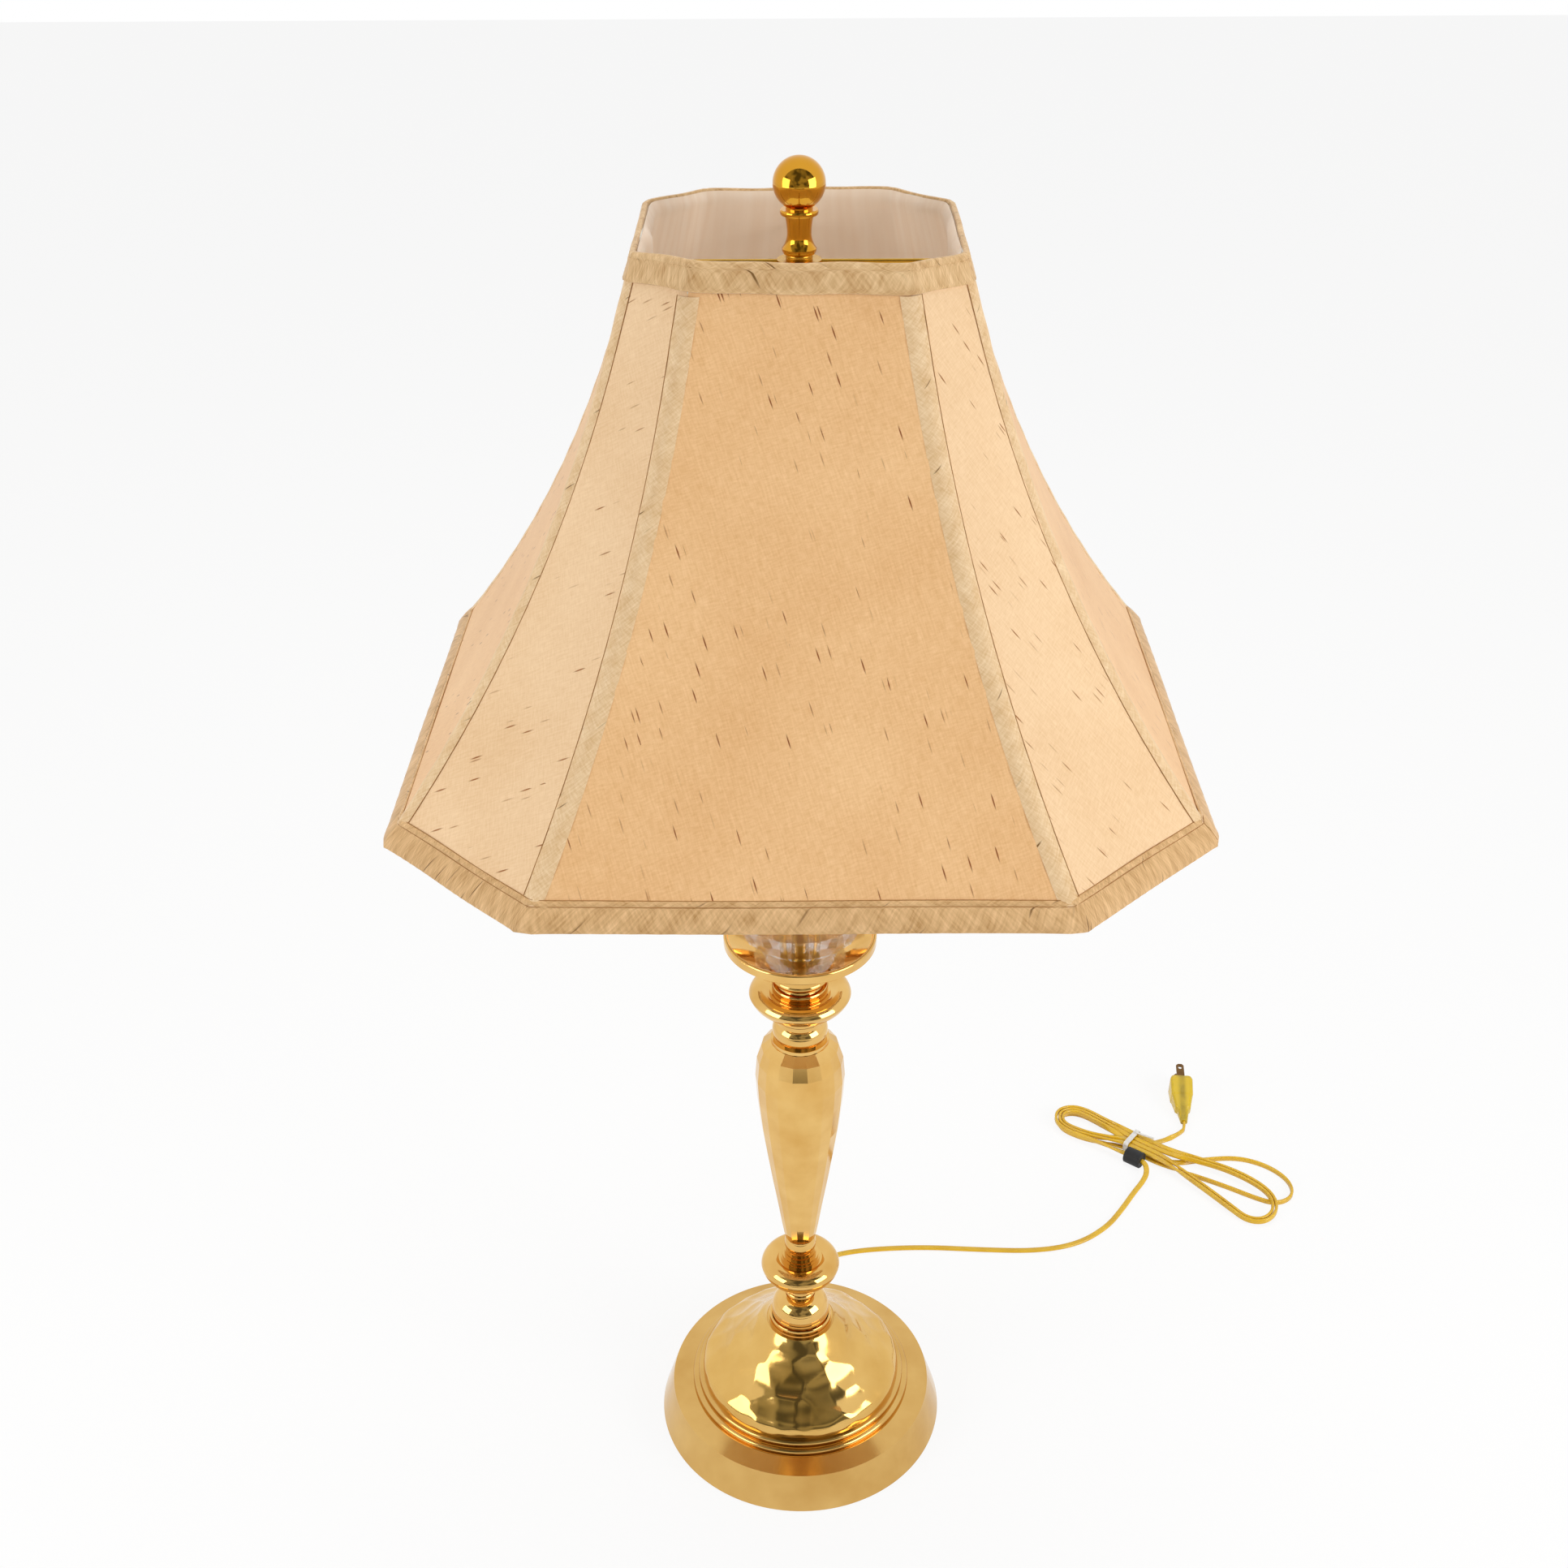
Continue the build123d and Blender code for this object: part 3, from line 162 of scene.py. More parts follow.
shade_silk = silk("slubbed_silk", "#F6CB96", "#DEAA70", "#8A440E", 0.06, 70 * mm, 0.25)
# Silk for the corner panels: the same cloth painted paler, a painted sheen of the light glancing off them
corner_silk_painted_sheen = silk("slubbed_silk_painted_sheen", "#F7D6AC", "#E4BC8C", "#98581C", 0.055, 70 * mm, 0.3)
trim_silk = silk("bias_cut_silk", "#F0CF9E", "#B68850", "#7A5426", 0.06, 7 * mm, 0.3)
# Silk for the bottom band: the same cloth as the top band painted darker, a painted shade on the band's
# downward-facing roll
roll_silk_painted_shade = silk("bias_cut_silk_painted_shade", "#EEC692", "#B0844C", "#6E4A20", 0.06, 7 * mm, 0.3)
tape_silk = silk("bias_cut_silk_tape", "#F3D7AE", "#D2A974", "#7A5426", 0.03, 9 * mm, 0.3)

# Satin lining: smooth pale cloth with a long soft sheen. The lighter and darker streaks of colour that follow
# its drags are a painted sheen, and the same streaks bump the surface
lining_satin, tree, shader = new_material("acetate_satin", {"Roughness": 0.45, "Sheen Weight": 0.2})
cut = add_node(tree, "ShaderNodeUVMap", uv_map="cut").outputs["UV"]
stretched = add_node(tree, "ShaderNodeMapping", {"Vector": cut, "Scale": (1 / (14 * mm), 1 / (90 * mm), 1)})
drag = add_node(tree, "ShaderNodeTexNoise", {"Vector": stretched.outputs[0], "Scale": 1.0, "Detail": 3.0})
# Colour streaks along the drags: a painted sheen
tone = add_node(tree, "ShaderNodeMix", {"Factor": drag.outputs["Fac"], first_colour: colour("#F8E8D4"),
                                        second_colour: colour("#EACFB2")}, data_type="RGBA")
tree.links.new(tone.outputs[mixed_colour], shader.inputs["Base Color"])
bump = add_node(tree, "ShaderNodeBump", {"Height": drag.outputs["Fac"], "Strength": 0.1, "Distance": 0.2 * mm})
tree.links.new(bump.outputs["Normal"], shader.inputs["Normal"])


# A moulded or cast piece: one colour with a fine cloud and a skin of grains
def moulded(name, light, dark, grain, depth, inputs):
    material, tree, shader = new_material(name, inputs)
    place = add_node(tree, "ShaderNodeTexCoord").outputs["Object"]
    speckle = add_node(tree, "ShaderNodeTexNoise", {"Vector": place, "Scale": 1 / grain,
                                                    "Detail": 4.0}).outputs["Fac"]
    tone = add_node(tree, "ShaderNodeMix", {"Factor": speckle, first_colour: colour(light),
                                            second_colour: colour(dark)}, data_type="RGBA")
    tree.links.new(tone.outputs[mixed_colour], shader.inputs["Base Color"])
    bump = add_node(tree, "ShaderNodeBump", {"Height": speckle, "Strength": 0.3, "Distance": depth})
    tree.links.new(bump.outputs["Normal"], shader.inputs["Normal"])
    return material


cord_pvc = moulded("clear_gold_pvc", "#F0C630", "#D2A01A", 14 * mm, 0.0, {"Roughness": 0.2, "IOR": 1.53})
seam_thread = moulded("brown_sewing_thread", "#BE8A4C", "#8E5E2C", 2 * mm, 0.0, {"Roughness": 0.7})
sleeve_rubber = moulded("black_rubber", "#1C1C1E", "#101012", 1.2 * mm, 0.08 * mm, {"Roughness": 0.6})
tie_paper = moulded("coated_paper_tie", "#F2F1EE", "#DAD9D5", 3 * mm, 0.1 * mm, {"Roughness": 0.5})
base_felt = moulded("green_felt", "#2E4A34", "#1C3022", 0.8 * mm, 0.3 * mm,
                    {"Roughness": 0.95, "Sheen Weight": 0.4})
cast_iron = moulded("cast_iron", "#3C3B3A", "#262625", 2 * mm, 0.3 * mm, {"Roughness": 0.75, "Metallic": 0.6})
phenolic = moulded("phenolic_moulding", "#241A14", "#18110C", 2 * mm, 0.03 * mm,
                   {"Roughness": 0.35, "IOR": 1.6})
liner_card = moulded("fish_paper_card", "#7A6244", "#5E4A32", 1.5 * mm, 0.1 * mm, {"Roughness": 0.85})
frame_paint = moulded("painted_frame_wire", "#E2DED4", "#CFC9BC", 4 * mm, 0.05 * mm, {"Roughness": 0.5})
crystal_glass = moulded("lead_crystal", "#FFFFFF", "#F6FAFA", 60 * mm, 0.0,
                        {"Roughness": 0.0, "IOR": 1.55, "Transmission Weight": 1.0, "Alpha": 0.5})

# Clear yellow PVC of the plug: the wires and blade roots inside show as a darker core along its middle
plug_rear = Vector((317.2, 287.4, 3.4))
plug_face = Vector((320.4, 328.4, 11.2))
plug_axis = (plug_face - plug_rear).normalized()
plug_aside = plug_axis.cross((0, 0, 1)).normalized()
plug_pvc, tree, shader = new_material("clear_yellow_pvc", {"Roughness": 0.25, "IOR": 1.53,
                                                           "Transmission Weight": 0.3})
place = add_node(tree, "ShaderNodeTexCoord").outputs["Object"]
from_rear = add_node(tree, "ShaderNodeVectorMath", {0: place, 1: plug_rear * mm}, operation="SUBTRACT")
aside = add_node(tree, "ShaderNodeVectorMath", {0: from_rear.outputs[0], 1: plug_aside},
                 operation="DOT_PRODUCT")
off_middle = add_node(tree, "ShaderNodeMath", {0: aside.outputs["Value"]}, operation="ABSOLUTE")
core = add_node(tree, "ShaderNodeMapRange", {"Value": off_middle.outputs[0], "From Min": 0.6 * mm,
                                             "From Max": 4.5 * mm, "To Min": 1.0, "To Max": 0.0},
                interpolation_type="SMOOTHSTEP")
clouded = add_node(tree, "ShaderNodeTexNoise", {"Vector": place, "Scale": 1 / (7 * mm), "Detail": 2.0})
core_share = add_node(tree, "ShaderNodeMath", {0: core.outputs[0], 1: clouded.outputs["Fac"]},
                      operation="MULTIPLY")
tone = add_node(tree, "ShaderNodeMix", {"Factor": core_share.outputs[0], first_colour: colour("#F2D01E"),
                                        second_colour: colour("#8E7A08")}, data_type="RGBA")
tree.links.new(tone.outputs[mixed_colour], shader.inputs["Base Color"])

# Finishes of the solids that show
brass_nodes = ("vase_collar lower_knop knop_ring baluster neck_bead upper_knop cup_collar brass_cup "
               "crystal_seat crystal_cap cap_neck socket_cap socket_shell screw_shell centre_contact "
               "harp_stud").split()
drawn_nodes = ("harp harp_saddle ferrule_left ferrule_right spider_washer lamp_pipe base_nut base_washer "
               "switch_stem").split()
finishes = {
    spun_brass: ["base_shell"],
    polished_brass: brass_nodes,
    drawn_brass: drawn_nodes,
    finial_brass: ["finial"],
    dull_brass: ["plug_blades"],
    crystal_glass: ["crystal_body"],
    cast_iron: ["base_weight"],
    phenolic: ["socket_base", "switch_knob"],
    liner_card: ["socket_liner"],
    frame_paint: ["shade_top_wire", "shade_bottom_wire", "shade_ribs"],
    sleeve_rubber: ["cord_sleeve", "cord_grommet"],
    tie_paper: ["twist_tie"],
    plug_pvc: ["plug_body"],
    cord_pvc: ["pipe_wire"],
}
for finish, names in finishes.items():
    for name in names:
        nodes[name].data.materials.clear()
        nodes[name].data.materials.append(finish)

# Supply cord: twin flex along the table, in a tied hank, up to its plug
flex_width = 4.3 * mm
flex_thickness = 2.4 * mm
flex_notch = 0.3 * mm
lead_route = ((0, 84.0, 9.5), (0, 104.5, 9.5), (6.5, 123.0, 4.2), (25, 137.0, 1.9), (52, 143.2, 1.6),
              (95, 145.6, 1.6), (140, 142.6, 1.6), (180, 141.4, 1.6), (212, 148.6, 1.6), (236.5, 166.5, 1.6),
              (251, 186.0, 1.6))
hank_centre = Vector((278.75, 255.6, 0))
hank_turn = radians(-37.67)
hank_low = 2.2
hank_layer = 4.4
lobe_pitch = 3.0
waist_pitch = 4.9
flat, on_edge = 0, pi / 2


def hank_place(x, y, z):
    return hank_centre + Vector((x * cos(hank_turn) - y * sin(hank_turn),
                                 x * sin(hank_turn) + y * cos(hank_turn), z))


# The lobes' control points along and across the hank, with their level: 0 on the table, 1 over another pass
left_lobe = ((-18, 0, 1.1), (-38, -19.5, 1), (-57, -22.5, 1), (-70, -19.5, 1), (-76.5, -10, 1), (-76, -1, 1),
             (-69, 7, 1), (-57, 9.8, 1), (-38, 8, 1), (-18, 0, 1.1))
left_middle = Vector((-58, -6.5))
right_lobe = ((22, 0, 1.1), (46, 13, 1), (70, 17.5, 1), (95, 16, 1), (112, 8, 1), (119.5, -6, 0.8),
              (116, -19, 0.4), (104, -25.5, 0.3), (88, -22, 0.5), (66, -17, 0.8), (44, -12, 1), (22, 0, 1.1))
right_middle = Vector((94, -4.5))
loose_lobe = ((26, 0, 0.1), (44, 18, 0), (64, 37, 0), (86, 43, 0), (106, 39.5, 0), (117.5, 29, 0), (119, 17, 0),
              (112, 6.5, 0), (98, 3.2, 0), (72, 1, 0), (44, -3.5, 0), (22, 0, 0.1))


# One pass round a lobe: its ends at their places in the waist, its turns drawn in towards the middle line
def hank_pass(lobe, middle, waist_from, waist_to, layer=0, level=1):
    yield 0, waist_from * waist_pitch, hank_low + level * 1.1 * hank_layer, flat
    for step, (x, y, z) in enumerate(lobe):
        place = Vector((x, y))
        if step == 0 or step == len(lobe) - 1:
            place.y = (waist_to if step else waist_from) * waist_pitch
            tilt = flat
        else:
            spine = middle * min(1, x / middle.x)
            place += (spine - place).normalized() * layer * lobe_pitch
            tilt = on_edge
        yield place.x, place.y, hank_low + z * level * hank_layer, tilt


hank_route = [
    (18.5, -48, 1.8, flat), (18.6, -36, 2.6, flat), (17.4, -25.8, 4.6, flat), (11.2, -17.5, 6.5, flat),
    (1, -17.5, 6.5, flat), (-6.8, -17.5, 6.5, flat),
    *list(hank_pass(left_lobe, left_middle, -3.5, 1.5))[2:],
    *hank_pass(right_lobe, right_middle, 1.5, -1.5),
    *hank_pass(left_lobe, left_middle, -1.5, 0.5, 1),
    *hank_pass(right_lobe, right_middle, 0.5, -0.5, 1),
    *hank_pass(left_lobe, left_middle, -0.5, -0.5, 2),
    *hank_pass(loose_lobe, right_middle, -0.5, -1.5, 0, 0),
    *list(hank_pass(left_lobe, left_middle, -1.5, 0.9, 1, 0))[:-1],
    (-14, 3.8, hank_low, flat), (1, 8.5, hank_low, flat), (7, 18, hank_low, flat), (9.7, 23, hank_low, flat),
    (12.4, 30.2, hank_low, on_edge), (14.2, 36.8, hank_low, on_edge),
]
cord_route = [(Vector(point), flat) for point in lead_route]
cord_route += [(hank_place(x, y, z), tilt) for x, y, z, tilt in hank_route]
cord_route += [(plug_rear - plug_axis * 7, on_edge), (plug_rear, on_edge)]

# Section of the flex: two round wires side by side with a notch between them
section_data = bpy.data.curves.new("flex_section", "CURVE")
section = section_data.splines.new("POLY")
section_steps = 20
section.points.add(section_steps - 1)
wire_radius = flex_thickness / 2
wire_place = flex_width / 2 - wire_radius
for step, point in enumerate(section.points):
    angle = 2 * pi * step / section_steps
    across = wire_place * (1 if cos(angle) > 1e-6 else -1 if cos(angle) < -1e-6 else 0)
    waist = wire_radius - flex_notch
    reach = wire_radius if across else waist
    point.co = (across + reach * cos(angle), reach * sin(angle), 0, 1)
section.use_cyclic_u = True
flex_section = bpy.data.objects.new("flex_section", section_data)
bpy.context.scene.collection.objects.link(flex_section)
flex_section.hide_render = True
flex_section.hide_viewport = True

cord_data = bpy.data.curves.new("supply_cord", "CURVE")
cord_data.dimensions = "3D"
cord_data.twist_mode = "Z_UP"
cord_line = cord_data.splines.new("NURBS")
cord_line.points.add(len(cord_route) - 1)
for point, (place, tilt) in zip(cord_line.points, cord_route):
    point.co = (*(place * mm), 1)
    point.tilt = tilt
cord_line.order_u = 3
cord_line.use_endpoint_u = True
cord_line.resolution_u = 8
cord_data.bevel_mode = "OBJECT"
cord_data.bevel_object = flex_section
cord_data.use_fill_caps = True
supply_cord = bpy.data.objects.new("supply_cord", cord_data)
bpy.context.scene.collection.objects.link(supply_cord)
cord_data.materials.append(cord_pvc)
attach(supply_cord, "stand")
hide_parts("cord_lead", "cord_hank", "cord_tail")

# Bell line of the shade: one arc, hollow outwards
shade_top = 809.1 * mm
shade_bottom = 539.0 * mm
top_half_width = 78.6 * mm
bottom_half_width = 206.2 * mm
shade_sag = 16.4 * mm
side_ratio = 0.63
lining_inset = 5.8 * mm
bell_width = bottom_half_width - top_half_width
bell_height = shade_top - shade_bottom
bell_chord = hypot(bell_width, bell_height)
bell_radius = (bell_chord ** 2 / 4 + shade_sag ** 2) / (2 * shade_sag)
bell_axis_x = (top_half_width + bottom_half_width) / 2 + bell_height / bell_chord * (bell_radius - shade_sag)
bell_axis_z = (shade_top + shade_bottom) / 2 + bell_width / bell_chord * (bell_radius - shade_sag)


# The cloth is drawn in a little where the top band is sewn tight
top_draw = 1.2 * mm
top_draw_height = 40 * mm


def bell(z):
    z = min(max(z, shade_bottom), shade_top)
    near_top = max(0.0, 1 - (shade_top - z) / top_draw_height)
    return bell_axis_x - sqrt(bell_radius ** 2 - (z - bell_axis_z) ** 2) - top_draw * near_top ** 2


# The eight sides in order round the shade: panel, direction it faces, half angle, reach and angle of its weft
main_half_angle = atan(side_ratio)
corner_half_angle = pi / 4 - main_half_angle
corner_reach = (1 + side_ratio) * sqrt(0.5)
shade_sides = []
for main_name, main_weft, corner_name, corner_weft, direction in (
        ("panel_right", 100, "panel_back_right", 60, 0), ("panel_back", 70, "panel_back_left", 130, 90),
        ("panel_left", 40, "panel_front_left", 33, 180), ("panel_front", 108, "panel_front_right", 118, 270)):
    shade_sides.append((main_name, radians(direction), main_half_angle, 1.0, radians(main_weft)))
    shade_sides.append((corner_name, radians(direction + 45), corner_half_angle, corner_reach,
                        radians(corner_weft)))


# The cloth bends tightly over a rib low down and more widely at the mouth
low_bend = 3 * mm
mouth_bend = 5.5 * mm
mouth_height = 60 * mm


# Place on one side: aside runs from -1 to 1 between its ribs, inset moves that much back from the rib it nears
def shade_place(side, aside, z, out, inset=0.0):
    name, direction, half_angle, reach, weft = shade_sides[side % len(shade_sides)]
    away = reach * bell(z) + out
    half_width = tan(half_angle) * reach * bell(z) + tan(pi / 8) * out
    along = aside * (half_width - inset)
    bend = low_bend + (mouth_bend - low_bend) * max(0.0, 1 - (shade_top - z) / mouth_height)
    short = max(0.0, bend - half_width + abs(along))
    drawn_in = sin(pi / 8) * short ** 2 / (2 * bend)
    rib_way = direction + (pi / 8 if aside > 0 else -pi / 8)
    return Vector((away * cos(direction) - along * sin(direction) - drawn_in * cos(rib_way),
                   away * sin(direction) + along * cos(direction) - drawn_in * sin(rib_way), z))


# A grid of cloth, each point put in place by its position from -1 to 1 across and up, with its cut as UV
def cloth_grid(name, columns, rows, put, cut, thickness, material):
    bpy.ops.object.select_all(action="DESELECT")
    bpy.ops.mesh.primitive_grid_add(x_subdivisions=columns, y_subdivisions=rows, size=2, location=(0, 0, 0))
    cloth = bpy.context.object
    cloth.name = name
    cloth.data.name = name
    positions = [(vertex.co.x, vertex.co.y) for vertex in cloth.data.vertices]
    uv_layer = cloth.data.uv_layers[0]
    uv_layer.name = "cut"
    for loop in cloth.data.loops:
        uv_layer.data[loop.index].uv = cut(*positions[loop.vertex_index])
    for vertex, position in zip(cloth.data.vertices, positions):
        vertex.co = put(*position)
    bpy.ops.object.mode_set(mode="EDIT")
    bpy.ops.mesh.select_all(action="SELECT")
    bpy.ops.mesh.remove_doubles(threshold=0.01 * mm)
    bpy.ops.object.mode_set(mode="OBJECT")
    thicken = cloth.modifiers.new("thickness", "SOLIDIFY")
    thicken.thickness = thickness
    thicken.offset = -1
    bpy.ops.object.modifier_apply(modifier=thicken.name)
    bpy.ops.object.shade_smooth_by_angle(angle=radians(50))
    cloth.data.materials.append(material)
    return cloth


# Stretched panels: a little slack between the ribs and small puckers where they are sewn
panel_slack = 1.2 * mm
pucker = 0.25 * mm
pucker_waves = 55
pucker_fade = 8
panel_gap = 0.1 * mm
panel_columns, panel_rows = 40, 64
roll_step = (0.37, 0.53)
panel_thickness = 0.6 * mm
seam_hem = 1.0 * mm
slant = bell_radius * 2 * atan(2 * shade_sag / bell_chord) * 2
for side, (name, direction, half_angle, reach, weft) in enumerate(shade_sides):
    def put(x, y, side=side):
        z = shade_bottom + seam_hem + (y + 1) / 2 * (bell_height - 2 * seam_hem)
        bow = panel_slack * (1 - x * x) * (1 - y * y)
        gather = pucker * sin(pucker_waves * y + 3 * side) * exp(-pucker_fade * (1 - abs(x)))
        return shade_place(side, x, z, bow + gather, panel_gap)

    def cut(x, y, reach=reach, half_angle=half_angle, weft=weft, side=side):
        z = shade_bottom + (y + 1) / 2 * bell_height
        width = x * tan(half_angle) * reach * bell(z)
        length = (y + 1) / 2 * slant
        return (width * cos(weft) + length * sin(weft) + roll_step[0] * side,
                length * cos(weft) - width * sin(weft) + roll_step[1] * side)

    # The corner panels take the paler silk, whose paleness is a painted sheen
    panel = cloth_grid("silk_" + name, panel_columns, panel_rows, put, cut, panel_thickness,
                       shade_silk if reach == 1.0 else corner_silk_painted_sheen)
    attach(panel, "shade")
    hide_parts(name)

# Bias tapes over the ribs, each half on one panel and half on the next, cut aslant of the threads
tape_half_width = 6 * mm
tape_rise = 0.55 * mm
tape_lift = 0.25 * mm
tape_ripple = 0.12 * mm
tape_ripples = 40
tape_thickness = 0.5 * mm
tape_columns, tape_rows = 12, 72
tape_roll_step = 0.29
bias = 0.7
tape_low = shade_bottom + 9 * mm
tape_high = shade_top - 11 * mm
for rib in range(len(shade_sides)):
    def put(x, y, rib=rib):
        z = tape_low + (y + 1) / 2 * (tape_high - tape_low)
        out = tape_lift + tape_rise * (1 - abs(x) ** 3) + tape_ripple * sin(tape_ripples * y + rib)
        back = abs(x) * tape_half_width
        if x < 0:
            return shade_place(rib, 1, z, out, back)
        return shade_place(rib + 1, -1, z, out, back)

    def cut(x, y, rib=rib):
        across, along = x * tape_half_width, y * slant / 2
        return (across + along) * bias + tape_roll_step * rib, (along - across) * bias

    tape = cloth_grid("rib_tape_%d" % (rib + 1), tape_columns, tape_rows, put, cut, tape_thickness, tape_silk)
    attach(tape, "shade")
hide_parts("rib_tapes")

# Folded bands at the top and bottom: how far out and how high each fold of the band stands, outside first
top_folds = ((0.2, -12.2), (0.8, -12.0), (1.1, -11.3), (0.9, -10.0), (0.6, -7.0), (0.7, -4.0), (0.9, -2.8),
             (0.6, -2.3), (0.9, -1.6), (0.8, -0.5), (0.1, 0.2), (-0.9, 0.2), (-1.7, -0.9), (-1.9, -3.0))
bottom_folds = ((0.3, 11.6), (1.1, 11.3), (1.4, 10.3), (0.9, 9.5), (1.5, 8.7), (2.2, 6.6), (2.6, 4.2),
                (2.5, 1.8), (1.6, 0.0), (-0.4, -0.8), (-2.6, -0.5), (-4.0, 0.8), (-4.6, 3.5))
band_steps = 40
band_thickness = 0.4 * mm
band_half_cut = 9 * mm
band_side_share = 0.9
rumple_depth = 0.18 * mm


def band_position(x):
    travel = (x + 1) / 2 * len(shade_sides)
    side = min(int(travel + 1e-6), len(shade_sides) - 1)
    return side, 2 * (travel - side) - 1


# The top edge stands up a few millimetres over the front panel and is a little wavy all round
def top_rise(side, aside):
    name, direction, half_angle, reach, weft = shade_sides[side]
    turn = direction + atan(aside * tan(half_angle))
    from_front = (turn - radians(270) + pi) % (2 * pi) - pi
    fade = min(1.0, max(0.0, (radians(60) - abs(from_front)) / radians(28)))
    return (2.9 - 1.9 * from_front) * mm * fade + 0.45 * mm * sin(5 * turn + 1) + 0.25 * mm * sin(13 * turn)


def bottom_rise(side, aside):
    return 0.3 * mm * sin(4 * aside + 2 * side)


def band_place(edge_z, rise, side, aside, out, height):
    return shade_place(side, aside, edge_z + height, out) + Vector((0, 0, rise(side, aside)))


def cloth_band(name, edge_z, rise, folds, tuck, material):
    rows = len(folds) - 1

    def put(x, y):
        side, aside = band_position(x)
        out, height = folds[round((1 - y) / 2 * rows)]
        to_corner = 1 - abs(aside)
        crease = tuck * (exp(-(to_corner / 0.02) ** 2) - 0.7 * exp(-((to_corner - 0.06) / 0.03) ** 2))
        rumple = rumple_depth * sin(90 * aside + 5 * side + 2 * y) * sin(31 * aside + side)
        return band_place(edge_z, rise, side, aside, out * mm - crease + rumple, height * mm)

    def cut(x, y):
        side, aside = band_position(x)
        along = (side + (aside + 1) / 2) * bell(edge_z) * band_side_share
        across = y * band_half_cut
        return (along + across) * bias, (along - across) * bias

    band = cloth_grid(name, band_steps * len(shade_sides), rows, put, cut, band_thickness, material)
    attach(band, "shade")
    return band


top_band = cloth_band("top_band", shade_top, top_rise, top_folds, 0.3 * mm, trim_silk)
# The bottom band takes the darker silk, a painted shade
bottom_band = cloth_band("bottom_band", shade_bottom, bottom_rise, bottom_folds, 0.5 * mm, roll_silk_painted_shade)
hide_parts("top_trim")
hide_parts("bottom_trim")

# Lining inside the frame, turned out over the top wire, with soft drags from its seams
lining_low = shade_bottom + 3 * mm
lining_turn = 5 * mm
lining_columns, lining_rows = 14, 60
lining_thickness = 0.4 * mm
lining_drop = 0.5 * mm
lining_flare = 3.6 * mm
lining_drag = 0.7 * mm
arm_z = 792.3 * mm
wire_bulge = 4 * mm
bulge_share = 0.14
bulge_height = 11 * mm


def put(x, y):
    side, aside = band_position(x)
    z = lining_low + (y + 1) / 2 * (shade_top - lining_low)
    to_top = max(0.0, 1 - (shade_top - z) / lining_turn)
    drag = lining_drag * sin(9 * aside + 2 * side + 6 * y) * (1 - aside * aside)
    over_wire = 0.0
    if side % 2 == 0:
        over_wire = wire_bulge * exp(-(aside / bulge_share) ** 2 - ((z - arm_z) / bulge_height) ** 2)
    place = shade_place(side, aside, z - lining_drop,
                        -lining_inset + lining_flare * to_top ** 2 - (drag + over_wire) * (1 - to_top))
    return place + Vector((0, 0, top_rise(side, aside) * to_top))


def cut(x, y):
    return x * 4 * bottom_half_width, y * slant / 2


shade_lining = cloth_grid("satin_lining", lining_columns * len(shade_sides), lining_rows, put, cut,
                          lining_thickness, lining_satin)
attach(shade_lining, "shade")
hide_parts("shade_lining")

# Seam threads: along the sewn edge of each tape, and round the bands
seam_radius = 0.2 * mm
seam_steps = 60
seam_lift = 0.45 * mm
band_seam_steps = 24
seams = []
for rib in range(len(shade_sides)):
    side, aside = (rib, 1) if rib % 2 else (rib + 1, -1)
    seams.append([shade_place(side, aside, tape_low + step / seam_steps * (tape_high - tape_low), seam_lift,
                              tape_half_width) for step in range(seam_steps + 1)])
for edge_z, rise, height, out in ((shade_top, top_rise, -2.3 * mm, 0.75 * mm),
                                  (shade_top, top_rise, -12.3 * mm, 0.4 * mm),
                                  (shade_bottom, bottom_rise, 11.7 * mm, 0.4 * mm),
                                  (shade_bottom, bottom_rise, 9.5 * mm, 1.05 * mm)):
    seams.append([band_place(edge_z, rise, side, step / band_seam_steps, out, height)
                  for side in range(len(shade_sides)) for step in range(-band_seam_steps, band_seam_steps + 1)])
seam_data = bpy.data.curves.new("seam_threads", "CURVE")
seam_data.dimensions = "3D"
seam_data.bevel_depth = seam_radius
seam_data.bevel_resolution = 1
for places in seams:
    seam = seam_data.splines.new("POLY")
    seam.points.add(len(places) - 1)
    for point, place in zip(seam.points, places):
        point.co = (*place, 1)
seam_threads = bpy.data.objects.new("seam_threads", seam_data)
bpy.context.scene.collection.objects.link(seam_threads)
bpy.ops.object.select_all(action="DESELECT")
bpy.context.view_layer.objects.active = seam_threads
seam_threads.select_set(True)
bpy.ops.object.convert(target="MESH")
seam_threads.data.materials.append(seam_thread)
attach(seam_threads, "shade")

# Spider wires: from the washer straight out to the wall of the shade, then up to the top wire
arm_start = 10 * mm
arm_bend = 5 * mm
arm_reach = 75.6 * mm
arm_top = 805.0 * mm
arm_radius = 1.1 * mm
bpy.ops.object.select_all(action="DESELECT")
bpy.ops.mesh.primitive_circle_add(vertices=16, radius=arm_radius, fill_type="NGON",
                                  location=(arm_start, 0, arm_z), rotation=(0, pi / 2, 0))
spider_arm = bpy.context.object
bpy.ops.object.transform_apply(location=True, rotation=True, scale=True)
bpy.ops.object.mode_set(mode="EDIT")
bpy.ops.mesh.select_all(action="SELECT")
bpy.ops.mesh.extrude_region_move(TRANSFORM_OT_translate={"value": (arm_reach - arm_bend - arm_start, 0, 0)})
bpy.ops.mesh.spin(steps=8, angle=pi / 2, center=(arm_reach - arm_bend, 0, arm_z + arm_bend), axis=(0, 1, 0))
bpy.ops.mesh.extrude_region_move(TRANSFORM_OT_translate={"value": (0, 0, arm_top - arm_z - arm_bend)})
bpy.ops.mesh.select_all(action="SELECT")
bpy.ops.mesh.normals_make_consistent(inside=False)
bpy.ops.object.mode_set(mode="OBJECT")
